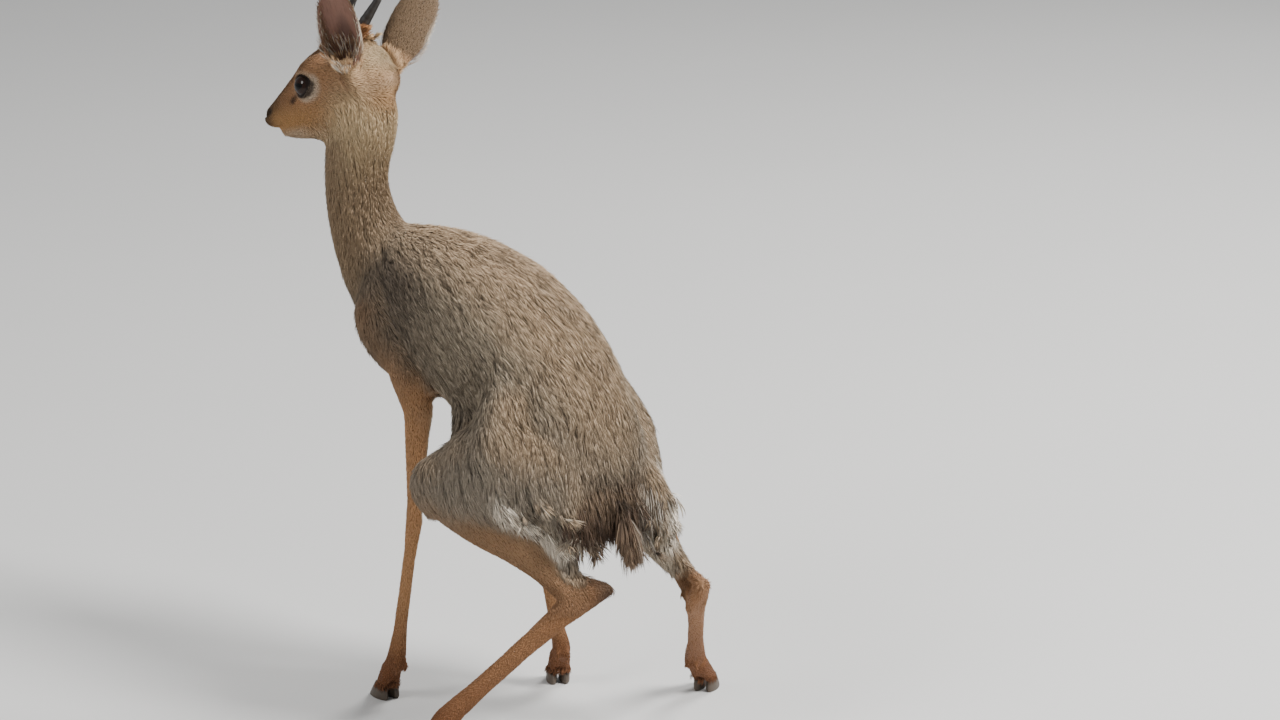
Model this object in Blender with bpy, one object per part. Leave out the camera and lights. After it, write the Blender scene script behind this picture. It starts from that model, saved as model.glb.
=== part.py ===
"""A male dik-dik at life size, crouched on spread legs with its head raised and turned.

The animal faces -Y, its left side is +X and the soles of its hooves stand on Z = 0.
Its flesh is modelled whole from lofted limbs and trunk, fused and smoothed, and then parted
by thin cuts into head, neck, torso, tail and legs. Ears, eyes, horns and hooves are pieces of
their own, set in sockets or against cut faces.
"""

import math
import random

import bmesh
import bpy
import numpy as np
from mathutils import Matrix, Vector
from mathutils.bvhtree import BVHTree

# Driving dimensions, in metres
GAP = 0.0003
FLESH_VOXEL = 0.0018
EYE_RADIUS = 0.0112
HORN_LENGTH = 0.074
HORN_RADIUS = 0.0062
EAR_LENGTH = 0.084
EAR_WIDTH = 0.037
HOOF_WIDTH = 0.0088

# Where the head sits and how it is turned: yaw to the animal's left, pitch nose down
HEAD_ORIGIN = Vector((0.0078, -0.0300, 0.4965))
HEAD_YAW = math.radians(17.5)
HEAD_PITCH = math.radians(15.0)
HEAD_ROLL = math.radians(7.0)
HEAD_SCALE = 1.035

SIDES = (("left", 1), ("right", -1))

# Sideways offset of each digit from the middle of its foot
DIGIT_OFFSET = 0.0053

# Lean of each ear, outwards and forwards, as a share of its rise; and the way its cup faces
EAR_LEAN = {1: (0.50, -0.33), -1: (0.55, -0.42)}
EAR_TURN = {1: (-0.20, 1.0), -1: (0.35, 1.0)}

# Height bands of the fused flesh and about how many triangles each keeps
FLESH_FACES = (
    (-0.1, 0.0500, 1000),
    (0.0500, 0.1500, 750),
    (0.1500, 0.3850, 2500),
    (0.3850, 0.4300, 420),
    (0.4300, 0.7000, 2300),
)

# Height at which each thigh is parted from the leg under it
THIGH_FOOT = 0.1535

# Joints of the legs, "left" being the animal's own left
JOINTS = {
    "front_left": {
        "elbow": (0.0420, 0.0480, 0.2590),
        "carpus": (0.0490, 0.0490, 0.1500),
        "fetlock": (0.0610, 0.0390, 0.0370),
        "toe": (0.0580, 0.0070, 0.0),
    },
    "front_right": {
        "elbow": (-0.0480, 0.0420, 0.2540),
        "carpus": (-0.0550, 0.0690, 0.1460),
        "fetlock": (-0.0620, 0.0970, 0.0360),
        "toe": (-0.0790, 0.0680, 0.0),
    },
    "hind_left": {
        "hip": (0.0310, 0.2130, 0.2270),
        "knee": (0.0860, 0.1400, 0.2090),
        "ankle": (0.0400, 0.2430, 0.1310),
        "heel": (0.0170, 0.2520, 0.1380),
        "fetlock": (0.1250, 0.1860, 0.0390),
        "toe": (0.1550, 0.1720, 0.0),
    },
    "hind_right": {
        "hip": (-0.0290, 0.2120, 0.2250),
        "knee": (-0.0860, 0.1460, 0.1950),
        "ankle": (-0.0605, 0.2665, 0.1185),
        "heel": (-0.0520, 0.2830, 0.1340),
        "fetlock": (-0.1280, 0.1860, 0.0370),
        "toe": (-0.1650, 0.1650, 0.0),
    },
}

COLOURS = {
    "coat_grey": (0.30, 0.25, 0.19, 0.85, 0.0),
    "coat_tan": (0.46, 0.30, 0.17, 0.85, 0.0),
    "ear_skin": (0.42, 0.30, 0.24, 0.75, 0.0),
    "horn": (0.035, 0.030, 0.028, 0.45, 0.0),
    "hoof": (0.06, 0.045, 0.035, 0.50, 0.0),
    "eye": (0.015, 0.010, 0.008, 0.08, 0.0),
}


def clear_scene():
    for obj in list(bpy.data.objects):
        bpy.data.objects.remove(obj, do_unlink=True)


def make_material(name):
    red, green, blue, roughness, metallic = COLOURS[name]
    mat = bpy.data.materials.get(name) or bpy.data.materials.new(name)
    mat.use_nodes = True
    shader = mat.node_tree.nodes["Principled BSDF"]
    shader.inputs["Base Color"].default_value = (red, green, blue, 1.0)
    shader.inputs["Roughness"].default_value = roughness
    shader.inputs["Metallic"].default_value = metallic
    return mat


def add_object(name, bm, material=None):
    """A new object at the origin that holds the bmesh, which is freed."""
    mesh = bpy.data.meshes.new(name)
    bmesh.ops.recalc_face_normals(bm, faces=bm.faces)
    bm.to_mesh(mesh)
    bm.free()
    obj = bpy.data.objects.new(name, mesh)
    bpy.context.scene.collection.objects.link(obj)
    if material:
        mesh.materials.append(make_material(material))
    return obj


def remove(obj):
    bpy.data.objects.remove(obj, do_unlink=True)


def apply_modifiers(obj):
    """Replaces the object's mesh by what its modifiers make of it."""
    graph = bpy.context.evaluated_depsgraph_get()
    mesh = bpy.data.meshes.new_from_object(obj.evaluated_get(graph), depsgraph=graph)
    obj.modifiers.clear()
    obj.data = mesh
    return obj


def boolean(obj, operation, others, solver="MANIFOLD"):
    """Joins to or cuts from obj the closed objects in others, which are then removed."""
    group = bpy.data.collections.new("operands")
    bpy.context.scene.collection.children.link(group)
    for other in others:
        group.objects.link(other)
    modifier = obj.modifiers.new("boolean", "BOOLEAN")
    modifier.operation = operation
    modifier.operand_type = "COLLECTION"
    modifier.collection = group
    modifier.solver = solver
    apply_modifiers(obj)
    for other in others:
        remove(other)
    bpy.data.collections.remove(group)
    return obj


def intersect(obj, other):
    modifier = obj.modifiers.new("intersect", "BOOLEAN")
    modifier.operation = "INTERSECT"
    modifier.object = other
    modifier.solver = "MANIFOLD"
    apply_modifiers(obj)
    remove(other)
    return obj


def keep_largest(obj):
    """Keeps the closed surface with the most faces and drops loose scraps and sealed hollows."""
    bm = bmesh.new()
    bm.from_mesh(obj.data)
    left, islands = set(bm.verts), []
    while left:
        todo, island = [left.pop()], set()
        while todo:
            vert = todo.pop()
            island.add(vert)
            near = {edge.other_vert(vert) for edge in vert.link_edges} & left
            left -= near
            todo += near
        islands.append(island)
    islands.sort(key=len)
    for island in islands[:-1]:
        bmesh.ops.delete(bm, geom=list(island), context="VERTS")
    bm.to_mesh(obj.data)
    bm.free()
    return obj


def smooth_path(stations, steps):
    """Catmull-Rom rows through the stations, each a row of numbers, with steps rows per span."""
    rows = np.array(stations, float)
    ends = np.vstack([2 * rows[0] - rows[1], rows, 2 * rows[-1] - rows[-2]])
    out = []
    for i in range(1, len(rows)):
        before, start, end, after = ends[i - 1 : i + 3]
        for k in range(steps):
            t = k / steps
            out.append(
                0.5
                * (
                    2 * start
                    + (end - before) * t
                    + (2 * before - 5 * start + 4 * end - after) * t**2
                    + (3 * start - before - 3 * end + after) * t**3
                )
            )
    out.append(rows[-1])
    return np.array(out)


def loft(name, stations, side, sides=20, steps=4, power=2.0, caps=(1.0, 1.0), grow=0.0):
    """A closed tube through stations of x, y, z, half width along side and half depth across it.

    power is the outline's exponent, 2 being an ellipse. caps gives how far each end bulges, as a
    share of its depth. grow adds to every size.
    """
    rows = smooth_path(stations, steps)
    rows[:, 3:5] += grow
    centres = [Vector(row[:3]) for row in rows]
    tangents = [
        (centres[min(i + 1, len(rows) - 1)] - centres[max(i - 1, 0)]).normalized()
        for i in range(len(rows))
    ]
    rings = []

    def add_ring(centre, tangent, half_width, half_depth):
        across = (Vector(side) - Vector(side).dot(tangent) * tangent).normalized()
        up = tangent.cross(across)
        ring = []
        for k in range(sides):
            angle = 2 * math.pi * k / sides
            c, s = math.cos(angle), math.sin(angle)
            x = math.copysign(abs(c) ** (2 / power), c) * half_width
            y = math.copysign(abs(s) ** (2 / power), s) * half_depth
            ring.append(centre + across * x + up * y)
        rings.append(ring)

    def add_cap(i, sign, share):
        angles = (70, 40) if sign < 0 else (40, 70)
        for angle in angles:
            swell, reach = math.cos(math.radians(angle)), math.sin(math.radians(angle))
            centre = centres[i] + tangents[i] * sign * reach * share * rows[i][4]
            add_ring(centre, tangents[i], rows[i][3] * swell, rows[i][4] * swell)

    if caps[0]:
        add_cap(0, -1, caps[0])
    for centre, tangent, row in zip(centres, tangents, rows):
        add_ring(centre, tangent, row[3], row[4])
    if caps[1]:
        add_cap(-1, 1, caps[1])

    bm = bmesh.new()
    verts = [[bm.verts.new(point) for point in ring] for ring in rings]
    for first, second in zip(verts, verts[1:]):
        for k in range(sides):
            after = (k + 1) % sides
            bm.faces.new((first[k], first[after], second[after], second[k]))
    bm.faces.new(verts[0])
    bm.faces.new(verts[-1])
    return add_object(name, bm)


def ball(name, centre, radii, turn=None, segments=20, rings=12):
    bm = bmesh.new()
    bmesh.ops.create_uvsphere(bm, u_segments=segments, v_segments=rings, radius=1.0)
    matrix = Matrix.Translation(centre) @ (turn or Matrix()).to_4x4()
    bmesh.ops.transform(bm, matrix=matrix @ Matrix.Diagonal((*radii, 1.0)), verts=bm.verts)
    return add_object(name, bm)


def joint(leg, name):
    return Vector(JOINTS[leg][name])


def head_matrix():
    """Turns head coordinates (forward, left, up) into the animal's frame."""
    forward = Vector(
        (
            math.sin(HEAD_YAW) * math.cos(HEAD_PITCH),
            -math.cos(HEAD_YAW) * math.cos(HEAD_PITCH),
            -math.sin(HEAD_PITCH),
        )
    )
    left = Vector((math.cos(HEAD_YAW), math.sin(HEAD_YAW), 0.0))
    up = forward.cross(left)
    c, s = math.cos(HEAD_ROLL), math.sin(HEAD_ROLL)
    axes = (forward, left * c + up * s, up * c - left * s)
    turn = Matrix([[axis[i] for axis in axes] for i in range(3)]).to_4x4()
    return Matrix.Translation(HEAD_ORIGIN) @ turn @ Matrix.Scale(HEAD_SCALE, 4)


def on_head(forward, left, up):
    return head_matrix() @ Vector((forward, left, up))


# Flesh


def trunk():
    """The barrel from the breast over the arched back to the rump: centre, half width, half depth."""
    stations = [
        (0.004, -0.0400, 0.3120, 0.0330, 0.0350),
        (0.003, -0.0200, 0.3150, 0.0430, 0.0540),
        (0.002, 0.0150, 0.3160, 0.0500, 0.0640),
        (0.000, 0.0600, 0.3120, 0.0560, 0.0680),
        (-0.001, 0.1080, 0.2990, 0.0590, 0.0700),
        (-0.001, 0.1500, 0.2760, 0.0580, 0.0670),
        (0.000, 0.1840, 0.2450, 0.0540, 0.0600),
        (0.000, 0.2080, 0.2120, 0.0480, 0.0480),
        (0.000, 0.2240, 0.1920, 0.0370, 0.0330),
    ]
    return loft("trunk", stations, (1, 0, 0), sides=32, caps=(0.55, 0.45))


def withers():
    stations = [
        (0.008, -0.0420, 0.3500, 0.0180, 0.0180),
        (0.004, -0.0100, 0.3525, 0.0260, 0.0250),
        (0.000, 0.0350, 0.3515, 0.0280, 0.0270),
    ]
    return loft("withers", stations, (1, 0, 0), sides=20)


def neck():
    stations = [
        (0.003, -0.0060, 0.3180, 0.0400, 0.0480),
        (0.008, -0.0340, 0.3340, 0.0340, 0.0440),
        (0.012, -0.0545, 0.3600, 0.0282, 0.0345),
        (0.015, -0.0640, 0.3900, 0.0254, 0.0288),
        (0.0155, -0.0650, 0.4150, 0.0249, 0.0280),
        (0.0150, -0.0600, 0.4400, 0.0255, 0.0305),
        (0.0150, -0.0545, 0.4620, 0.0246, 0.0325),
        (0.0160, -0.0510, 0.4870, 0.0205, 0.0245),
    ]
    return loft("neck", stations, (1, 0, 0), sides=24)


def head_loft(name, rows, side="left", **options):
    """A loft in head coordinates: forward, left, up, half width, half depth."""
    stations = [(*on_head(*row[:3]), row[3] * HEAD_SCALE, row[4] * HEAD_SCALE) for row in rows]
    axis = {"forward": (1, 0, 0), "left": (0, 1, 0), "up": (0, 0, 1)}[side]
    return loft(name, stations, on_head(*axis) - on_head(0, 0, 0), **options)


def skull():
    """Cranium, face and long soft muzzle, and the narrower lower jaw under them."""
    # forward, top, bottom, half width
    upper = [
        (0.005, 0.0115, -0.0200, 0.0150),
        (0.014, 0.0235, -0.0290, 0.0212),
        (0.030, 0.0310, -0.0330, 0.0252),
        (0.048, 0.0315, -0.0340, 0.0256),
        (0.064, 0.0255, -0.0320, 0.0240),
        (0.080, 0.0150, -0.0300, 0.0182),
        (0.096, 0.0045, -0.0285, 0.0138),
        (0.109, -0.0040, -0.0275, 0.0120),
        (0.1180, -0.0095, -0.0258, 0.0102),
    ]
    lower = [
        (0.030, -0.0100, -0.0440, 0.0170),
        (0.050, -0.0120, -0.0455, 0.0180),
        (0.068, -0.0150, -0.0430, 0.0165),
        (0.084, -0.0180, -0.0395, 0.0130),
        (0.097, -0.0200, -0.0372, 0.0100),
        (0.106, -0.0220, -0.0345, 0.0080),
    ]
    pieces = []
    for name, profile, power in (("skull", upper, 2.2), ("jaw", lower, 2.0)):
        rows = [
            (f, 0, (top + bottom) / 2, width, (top - bottom) / 2) for f, top, bottom, width in profile
        ]
        pieces.append(head_loft(name, rows, sides=28, power=power, caps=(0.6, 0.75)))
    return pieces


def face():
    """The cheek, brow, eyelid swelling and ear root of each side."""
    pieces = []
    for sign, label in ((1, "left"), (-1, "right")):
        cheek = [
            (0.030, sign * 0.0120, -0.018, 0.0110, 0.0190),
            (0.048, sign * 0.0130, -0.020, 0.0108, 0.0195),
            (0.072, sign * 0.0095, -0.021, 0.0075, 0.0120),
        ]
        brow = [
            (0.044, sign * 0.0190, 0.0150, 0.0080, 0.0100),
            (0.062, sign * 0.0185, 0.0125, 0.0080, 0.0085),
            (0.080, sign * 0.0110, 0.0040, 0.0055, 0.0060),
        ]
        ear_root = [
            (0.021, sign * 0.0115, -0.004, 0.0128, 0.0135),
            (0.021, sign * 0.0210, 0.002, 0.0105, 0.0105),
            (0.019, sign * 0.0262, 0.010, 0.0092, 0.0090),
        ]
        pieces.append(head_loft("cheek_" + label, cheek))
        pieces.append(head_loft("brow_" + label, brow))
        pieces.append(head_loft("ear_root_" + label, ear_root, side="forward"))
    return pieces


def ahead_of(leg):
    """The way the toes of a foot point, level with the floor, and the way to its own left."""
    ahead = (joint(leg, "toe") - joint(leg, "fetlock")) * Vector((1, 1, 0))
    ahead.normalize()
    return ahead, Vector((0, 0, 1)).cross(ahead)


def front_leg(leg, sign):
    elbow, carpus, fetlock = joint(leg, "elbow"), joint(leg, "carpus"), joint(leg, "fetlock")
    ahead, across = ahead_of(leg)
    limb = [
        (sign * 0.018, 0.0060, 0.3560, 0.0110, 0.0200),
        (sign * 0.034, -0.0040, 0.3300, 0.0160, 0.0280),
        (sign * 0.041, 0.0000, 0.3040, 0.0185, 0.0290),
        (elbow.x - sign * 0.002, elbow.y - 0.0200, elbow.z + 0.0240, 0.0175, 0.0260),
        (elbow.x, elbow.y - 0.0090, elbow.z + 0.0030, 0.0145, 0.0190),
        (*elbow.lerp(carpus, 0.14), 0.0122, 0.0145),
        (*elbow.lerp(carpus, 0.30), 0.0102, 0.0120),
        (*elbow.lerp(carpus, 0.60), 0.0080, 0.0092),
        (*elbow.lerp(carpus, 0.88), 0.0064, 0.0072),
        (*carpus, 0.0070, 0.0076),
        (*carpus.lerp(fetlock, 0.10), 0.0062, 0.0068),
        (*carpus.lerp(fetlock, 0.25), 0.0053, 0.0060),
        (*carpus.lerp(fetlock, 0.60), 0.0052, 0.0061),
        (*carpus.lerp(fetlock, 0.86), 0.0060, 0.0072),
        (*fetlock, 0.0076, 0.0086),
        (*(fetlock + ahead * 0.010 - Vector((0, 0, 0.013))), 0.0072, 0.0070),
    ]
    point = [
        (*(elbow + Vector((0, 0.004, 0.004))), 0.0080, 0.0090),
        (*(elbow + Vector((0, 0.010, 0.007))), 0.0060, 0.0070),
    ]
    return [loft(leg, limb, across), loft(leg + "_elbow", point, across)] + toes(leg, 1.0)


def thigh(leg, sign, grow=0.0):
    """The haunch, and the hamstrings down the back of the shin; grow adds to their sizes."""
    hip, knee = joint(leg, "hip"), joint(leg, "knee")
    ankle = joint(leg, "ankle")
    haunch = [
        (*(hip + Vector((0, 0.000, -0.004))), 0.0240, 0.0330),
        (*hip.lerp(knee, 0.30), 0.0310, 0.0460),
        (*hip.lerp(knee, 0.62), 0.0300, 0.0480),
        (*hip.lerp(knee, 0.88), 0.0240, 0.0380),
        (*hip.lerp(knee, 1.02), 0.0190, 0.0300),
    ]
    ham = [
        (*(hip + Vector((0, 0.001, -0.010))), 0.0230, 0.0280),
        (*(hip.lerp(ankle, 0.32) + Vector((0, -0.006, 0.002))), 0.0210, 0.0300),
        (*(hip.lerp(ankle, 0.60) + Vector((0, -0.012, 0))), 0.0140, 0.0185),
        (*(hip.lerp(ankle, 0.80) + Vector((0, -0.004, 0))), 0.0065, 0.0080),
    ]
    croup = [
        (sign * 0.0180, 0.1640, 0.2860, 0.0260, 0.0300),
        (*(hip + Vector((sign * 0.0100, -0.0440, 0.0340))), 0.0270, 0.0340),
        (*(hip.lerp(knee, 0.45) + Vector((0, -0.0060, 0.0120))), 0.0280, 0.0380),
    ]
    out = Vector((sign, 0, 0))
    return [
        loft(leg + "_haunch", haunch, out, sides=20, steps=2, power=2.1, grow=grow),
        loft(leg + "_ham", ham, out, sides=16, steps=2, grow=grow),
        loft(leg + "_croup", croup, (0, 1, 0), sides=16, steps=2, grow=grow),
    ]


def hind_leg(leg, sign):
    hip, knee, ankle = joint(leg, "hip"), joint(leg, "knee"), joint(leg, "ankle")
    heel, fetlock = joint(leg, "heel"), joint(leg, "fetlock")
    ahead, across = ahead_of(leg)
    bend = (knee - hip).cross(ankle - knee).normalized()
    cord = heel - ankle
    shin = [
        (*knee.lerp(ankle, 0.02), 0.0200, 0.0280),
        (*knee.lerp(ankle, 0.25), 0.0170, 0.0240),
        (*knee.lerp(ankle, 0.50), 0.0122, 0.0170),
        (*knee.lerp(ankle, 0.75), 0.0085, 0.0115),
        (*knee.lerp(ankle, 0.97), 0.0080, 0.0105),
    ]
    tendon = [
        (*(knee.lerp(ankle, 0.45) + cord * 0.40), 0.0080, 0.0105),
        (*(knee.lerp(ankle, 0.75) + cord * 0.55), 0.0048, 0.0058),
        (*ankle.lerp(heel, 0.93), 0.0052, 0.0064),
    ]
    cannon = [
        (*heel, 0.0056, 0.0070),
        (*heel.lerp(ankle, 0.55), 0.0072, 0.0108),
        (*ankle.lerp(fetlock, 0.06), 0.0078, 0.0122),
        (*ankle.lerp(fetlock, 0.16), 0.0068, 0.0104),
        (*ankle.lerp(fetlock, 0.40), 0.0060, 0.0088),
        (*ankle.lerp(fetlock, 0.75), 0.0062, 0.0086),
        (*fetlock, 0.0080, 0.0098),
        (*(fetlock + ahead * 0.010 - Vector((0, 0, 0.014))), 0.0074, 0.0074),
    ]
    flank = [
        (sign * 0.040, knee.y - 0.035, knee.z + 0.0480, 0.0100, 0.0160),
        (sign * 0.055, knee.y - 0.012, knee.z + 0.0280, 0.0130, 0.0220),
        (*(knee + Vector((-sign * 0.008, 0.012, 0.0040))), 0.0150, 0.0260),
    ]
    knob = ankle.lerp(knee, 0.06)
    pieces = thigh(leg, sign)
    for turn in (1, -1):
        pieces.append(ball(leg + "_knob", knob + bend * turn * 0.0062, (0.0048, 0.0052, 0.0052)))
    pieces.append(loft(leg + "_flank", flank, (1, 0, 0)))
    pieces.append(loft(leg + "_shin", shin, bend))
    pieces.append(loft(leg + "_tendon", tendon, bend, sides=12))
    pieces.append(loft(leg + "_cannon", cannon, (fetlock - ankle).cross(ahead)))
    return pieces + toes(leg, 1.04)


def toes(leg, scale):
    """The two toes down to the hooves' crowns, and the two dewclaws behind the fetlock."""
    fetlock, toe = joint(leg, "fetlock"), joint(leg, "toe")
    ahead, across = ahead_of(leg)
    pieces = []
    for sign in (1, -1):
        start = fetlock + ahead * 0.006 + across * sign * 0.0034 - Vector((0, 0, 0.008))
        end = toe - ahead * 0.0175 + across * sign * DIGIT_OFFSET + Vector((0, 0, 0.0100))
        rows = [(*start, 0.0052 * scale, 0.0068 * scale), (*end, 0.0045, 0.0066 * scale)]
        dew = fetlock - ahead * 0.0080 + across * sign * 0.0042 - Vector((0, 0, 0.0040))
        claw = [(*dew, 0.0026, 0.0032), (*(dew - Vector((0, 0, 0.0045))), 0.0022, 0.0026)]
        pieces.append(loft(f"{leg}_toe_{sign}", rows, across, sides=12, caps=(1.0, 0.3)))
        pieces.append(loft(f"{leg}_dewclaw_{sign}", claw, across, sides=8))
    return pieces


def flesh():
    """The whole animal fused, smoothed where muscle is broad, and thinned where it is plain."""
    pieces = [trunk(), withers(), neck()] + skull() + face()
    for leg, sign in SIDES:
        pieces += front_leg("front_" + leg, sign) + hind_leg("hind_" + leg, sign)
    bm = bmesh.new()
    for piece in pieces:
        bm.from_mesh(piece.data)
        remove(piece)
    body = add_object("flesh", bm)
    remesh = body.modifiers.new("remesh", "REMESH")
    remesh.mode = "VOXEL"
    remesh.voxel_size = FLESH_VOXEL
    apply_modifiers(body)
    keep_largest(body)
    soften(body, 24, lambda p: 0.7 if p.z > 0.17 and p.y > -0.06 and p.z < 0.40 else 0.0)
    soften(body, 4, lambda p: 0.35 if p.z > 0.05 else 0.12)
    for low, high, faces in FLESH_FACES:
        thin(body, low, high, faces)
    return keep_largest(body)


def soften(obj, times, weight):
    """Smooths the mesh, at each vertex by the weight of its place."""
    group = obj.vertex_groups.new(name="soft")
    for vert in obj.data.vertices:
        amount = weight(vert.co)
        if amount:
            group.add([vert.index], amount, "REPLACE")
    modifier = obj.modifiers.new("smooth", "SMOOTH")
    modifier.factor = 0.6
    modifier.iterations = times
    modifier.vertex_group = "soft"
    apply_modifiers(obj)
    obj.vertex_groups.clear()


def thin(obj, low, high, faces):
    """Thins the mesh between two heights until it has about this many triangles there."""
    bpy.ops.object.select_all(action="DESELECT")
    bpy.context.view_layer.objects.active = obj
    obj.select_set(True)
    for _ in range(3):
        heights = [low <= vert.co.z < high for vert in obj.data.vertices]
        inside = [face for face in obj.data.polygons if all(heights[v] for v in face.vertices)]
        present = sum(len(face.vertices) - 2 for face in inside)
        if present < faces * 1.08:
            break
        bpy.ops.object.mode_set(mode="EDIT")
        bpy.ops.mesh.select_mode(type="VERT")
        bm = bmesh.from_edit_mesh(obj.data)
        for vert in bm.verts:
            vert.select_set(low <= vert.co.z < high)
        bm.select_flush_mode()
        bmesh.update_edit_mesh(obj.data)
        bpy.ops.mesh.decimate(ratio=faces / present)
        bpy.ops.object.mode_set(mode="OBJECT")


# Pieces of their own


def hoof(name, leg, sign):
    """One claw with a flat sole on the floor, a pointed toe and a sloping crown."""
    ahead, across = ahead_of(leg)
    middle = joint(leg, "toe") + across * sign * DIGIT_OFFSET
    # forward and up of the front, forward and up of the rear, half width
    rings = [
        (0.0000, 0.0000, -0.0250, 0.0000, 0.0040),
        (-0.0010, 0.0018, -0.0262, 0.0015, HOOF_WIDTH / 2),
        (-0.0055, 0.0080, -0.0258, 0.0050, HOOF_WIDTH / 2),
        (-0.0100, 0.0140, -0.0245, 0.0085, HOOF_WIDTH / 2 - 0.0002),
    ]
    bm = bmesh.new()
    loops = []
    for front, front_up, rear, rear_up, width in rings:
        loop = []
        for k in range(12):
            angle = 2 * math.pi * k / 12
            c, s = math.cos(angle), math.sin(angle)
            along = (front + rear) / 2 + (front - rear) / 2 * c
            height = (front_up + rear_up) / 2 + (front_up - rear_up) / 2 * c
            out = width * s * (1 - 0.30 * max(0.0, c))
            loop.append(bm.verts.new(middle + ahead * along + across * out + Vector((0, 0, height))))
        loops.append(loop)
    for first, second in zip(loops, loops[1:]):
        for k in range(12):
            after = (k + 1) % 12
            bm.faces.new((first[k], first[after], second[after], second[k]))
    bm.faces.new(loops[0])
    bm.faces.new(loops[-1])
    return add_object(name, bm, "hoof")


def below_crown(leg):
    """What lies under the crowns of a foot's hooves, with the gap: it trims the toes."""
    ahead, across = ahead_of(leg)
    slope = math.atan2(0.0055, 0.0145)
    normal = Vector((0, 0, 1)) * math.cos(slope) - ahead * math.sin(slope)
    place = joint(leg, "toe") - ahead * 0.0100 + Vector((0, 0, 0.0140)) + normal * GAP
    size = 0.060
    bm = bmesh.new()
    bmesh.ops.create_cube(bm, size=1.0)
    turn = Matrix((across.cross(normal), across, normal)).transposed().to_4x4()
    matrix = Matrix.Translation(place - normal * size / 2) @ turn @ Matrix.Scale(size, 4)
    bmesh.ops.transform(bm, matrix=matrix, verts=bm.verts)
    return add_object("below_crown", bm)


def horn(name, sign, grow=0.0):
    """A straight ringed spike, sloping back in line with the face."""
    rows = []
    rings = 7
    for k in range(2 * rings + 1):
        t = k / (2 * rings)
        reach = -0.006 + t * 0.5 * HORN_LENGTH
        radius = HORN_RADIUS * (1.0 - 0.38 * t) + (0.0003 if k % 2 and not grow else 0.0)
        rows.append((reach, radius))
    rows += [(HORN_LENGTH * 0.75, HORN_RADIUS * 0.40), (HORN_LENGTH * 0.97, HORN_RADIUS * 0.13)]
    if grow:
        rows = rows[:9]
    stations = []
    for reach, radius in rows:
        along = Vector((-0.72, sign * 0.07, 0.69)) * reach / HEAD_SCALE
        bow = 0.0020 * (reach / HORN_LENGTH) ** 2
        place = on_head(*(Vector((0.0430, sign * 0.0130, 0.0280)) + along + Vector((bow, 0, 0))))
        stations.append((*place, radius, radius))
    side = on_head(0, 1, 0) - on_head(0, 0, 0)
    return loft(name, stations, side, sides=10, steps=1, caps=(0.0, 1.0), grow=grow)


def ear_axes(sign):
    """The ear's length, the way its cup opens and its width, and its root, in the animal's frame."""
    turn = head_matrix().to_3x3().normalized()
    lean, back = EAR_LEAN[sign]
    length = (turn @ Vector((back, sign * lean, 1.0))).normalized()
    opening = turn @ Vector((EAR_TURN[sign][0], sign * EAR_TURN[sign][1], 0.0))
    opening = (opening - opening.dot(length) * length).normalized()
    return length, opening, length.cross(opening), on_head(0.0195, sign * 0.0265, 0.0040)


def ear(name, sign):
    """A leaf-shaped cup: rings of a C from the closed stalk to the tip."""
    length, opening, width, root = ear_axes(sign)
    # share of the length, half width as a share of the ear's, depth, half angle, wall thickness
    shape = smooth_path(
        [
            (-0.10, 0.168, 0.0062, 168, 0.0054),
            (0.00, 0.189, 0.0072, 165, 0.0060),
            (0.06, 0.249, 0.0090, 150, 0.0050),
            (0.16, 0.365, 0.0110, 128, 0.0022),
            (0.32, 0.476, 0.0115, 108, 0.0016),
            (0.50, 0.500, 0.0095, 98, 0.0015),
            (0.68, 0.438, 0.0070, 90, 0.0014),
            (0.84, 0.297, 0.0045, 86, 0.0013),
            (0.94, 0.162, 0.0030, 84, 0.0012),
            (1.00, 0.049, 0.0018, 80, 0.0009),
        ],
        2,
    )
    count = 7
    bm = bmesh.new()
    loops = []
    for share, half, depth, degrees, wall in shape:
        limit = math.radians(degrees)
        spread = half * EAR_WIDTH / math.sin(min(limit, math.pi / 2))
        loop = []
        for side, inset in ((1, 0.0), (-1, wall)):
            for k in range(count):
                angle = side * limit * (2 * k / (count - 1) - 1)
                across = (spread - inset) * math.sin(angle)
                into = (depth - inset) * math.cos(angle)
                point = root + length * share * EAR_LENGTH + width * across - opening * into
                loop.append(bm.verts.new(point))
        loops.append(loop)
    total = 2 * count
    for first, second in zip(loops, loops[1:]):
        for k in range(total):
            after = (k + 1) % total
            bm.faces.new((first[k], first[after], second[after], second[k]))
    for loop in (loops[0], loops[-1]):
        for k in range(count - 1):
            bm.faces.new((loop[k], loop[k + 1], loop[total - 2 - k], loop[total - 1 - k]))
    return add_object(name, bm, "ear_skin")


def ear_socket(sign):
    length, opening, width, root = ear_axes(sign)
    rows = [(-0.112, 0.0067, 0.0067), (0.00, 0.0074, 0.0076), (0.06, 0.0097, 0.0095), (0.16, 0.0140, 0.0117)]
    stations = [
        (*(root + length * share * EAR_LENGTH), across, into) for share, across, into in rows
    ]
    return loft("ear_socket", stations, width, sides=24, caps=(0.0, 0.0))


def eye_place(sign):
    centre = on_head(0.0675, sign * 0.0150, 0.0010)
    gaze = on_head(0.30, sign * 0.93, 0.10) - on_head(0, 0, 0)
    return centre, gaze.normalized()


def eyelids(head, sign):
    """A raised lid round the globe, its almond opening and the socket behind it."""
    centre, gaze = eye_place(sign)
    boolean(head, "UNION", [ball("lid", centre, (EYE_RADIUS + 0.0016,) * 3, segments=16, rings=9)])
    slit = (on_head(1, 0, -0.25) - on_head(0, 0, 0)).normalized()
    slit = (slit - slit.dot(gaze) * gaze).normalized()
    rows = [(*(centre + gaze * reach), 0.0104, 0.0084) for reach in (0.0, 0.008, 0.020)]
    opening = loft("opening", rows, slit, sides=16, steps=1, power=1.7, caps=(0.0, 0.0))
    socket = ball("socket", centre, (EYE_RADIUS + GAP,) * 3, segments=16, rings=10)
    boolean(head, "DIFFERENCE", [opening, socket])


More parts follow.
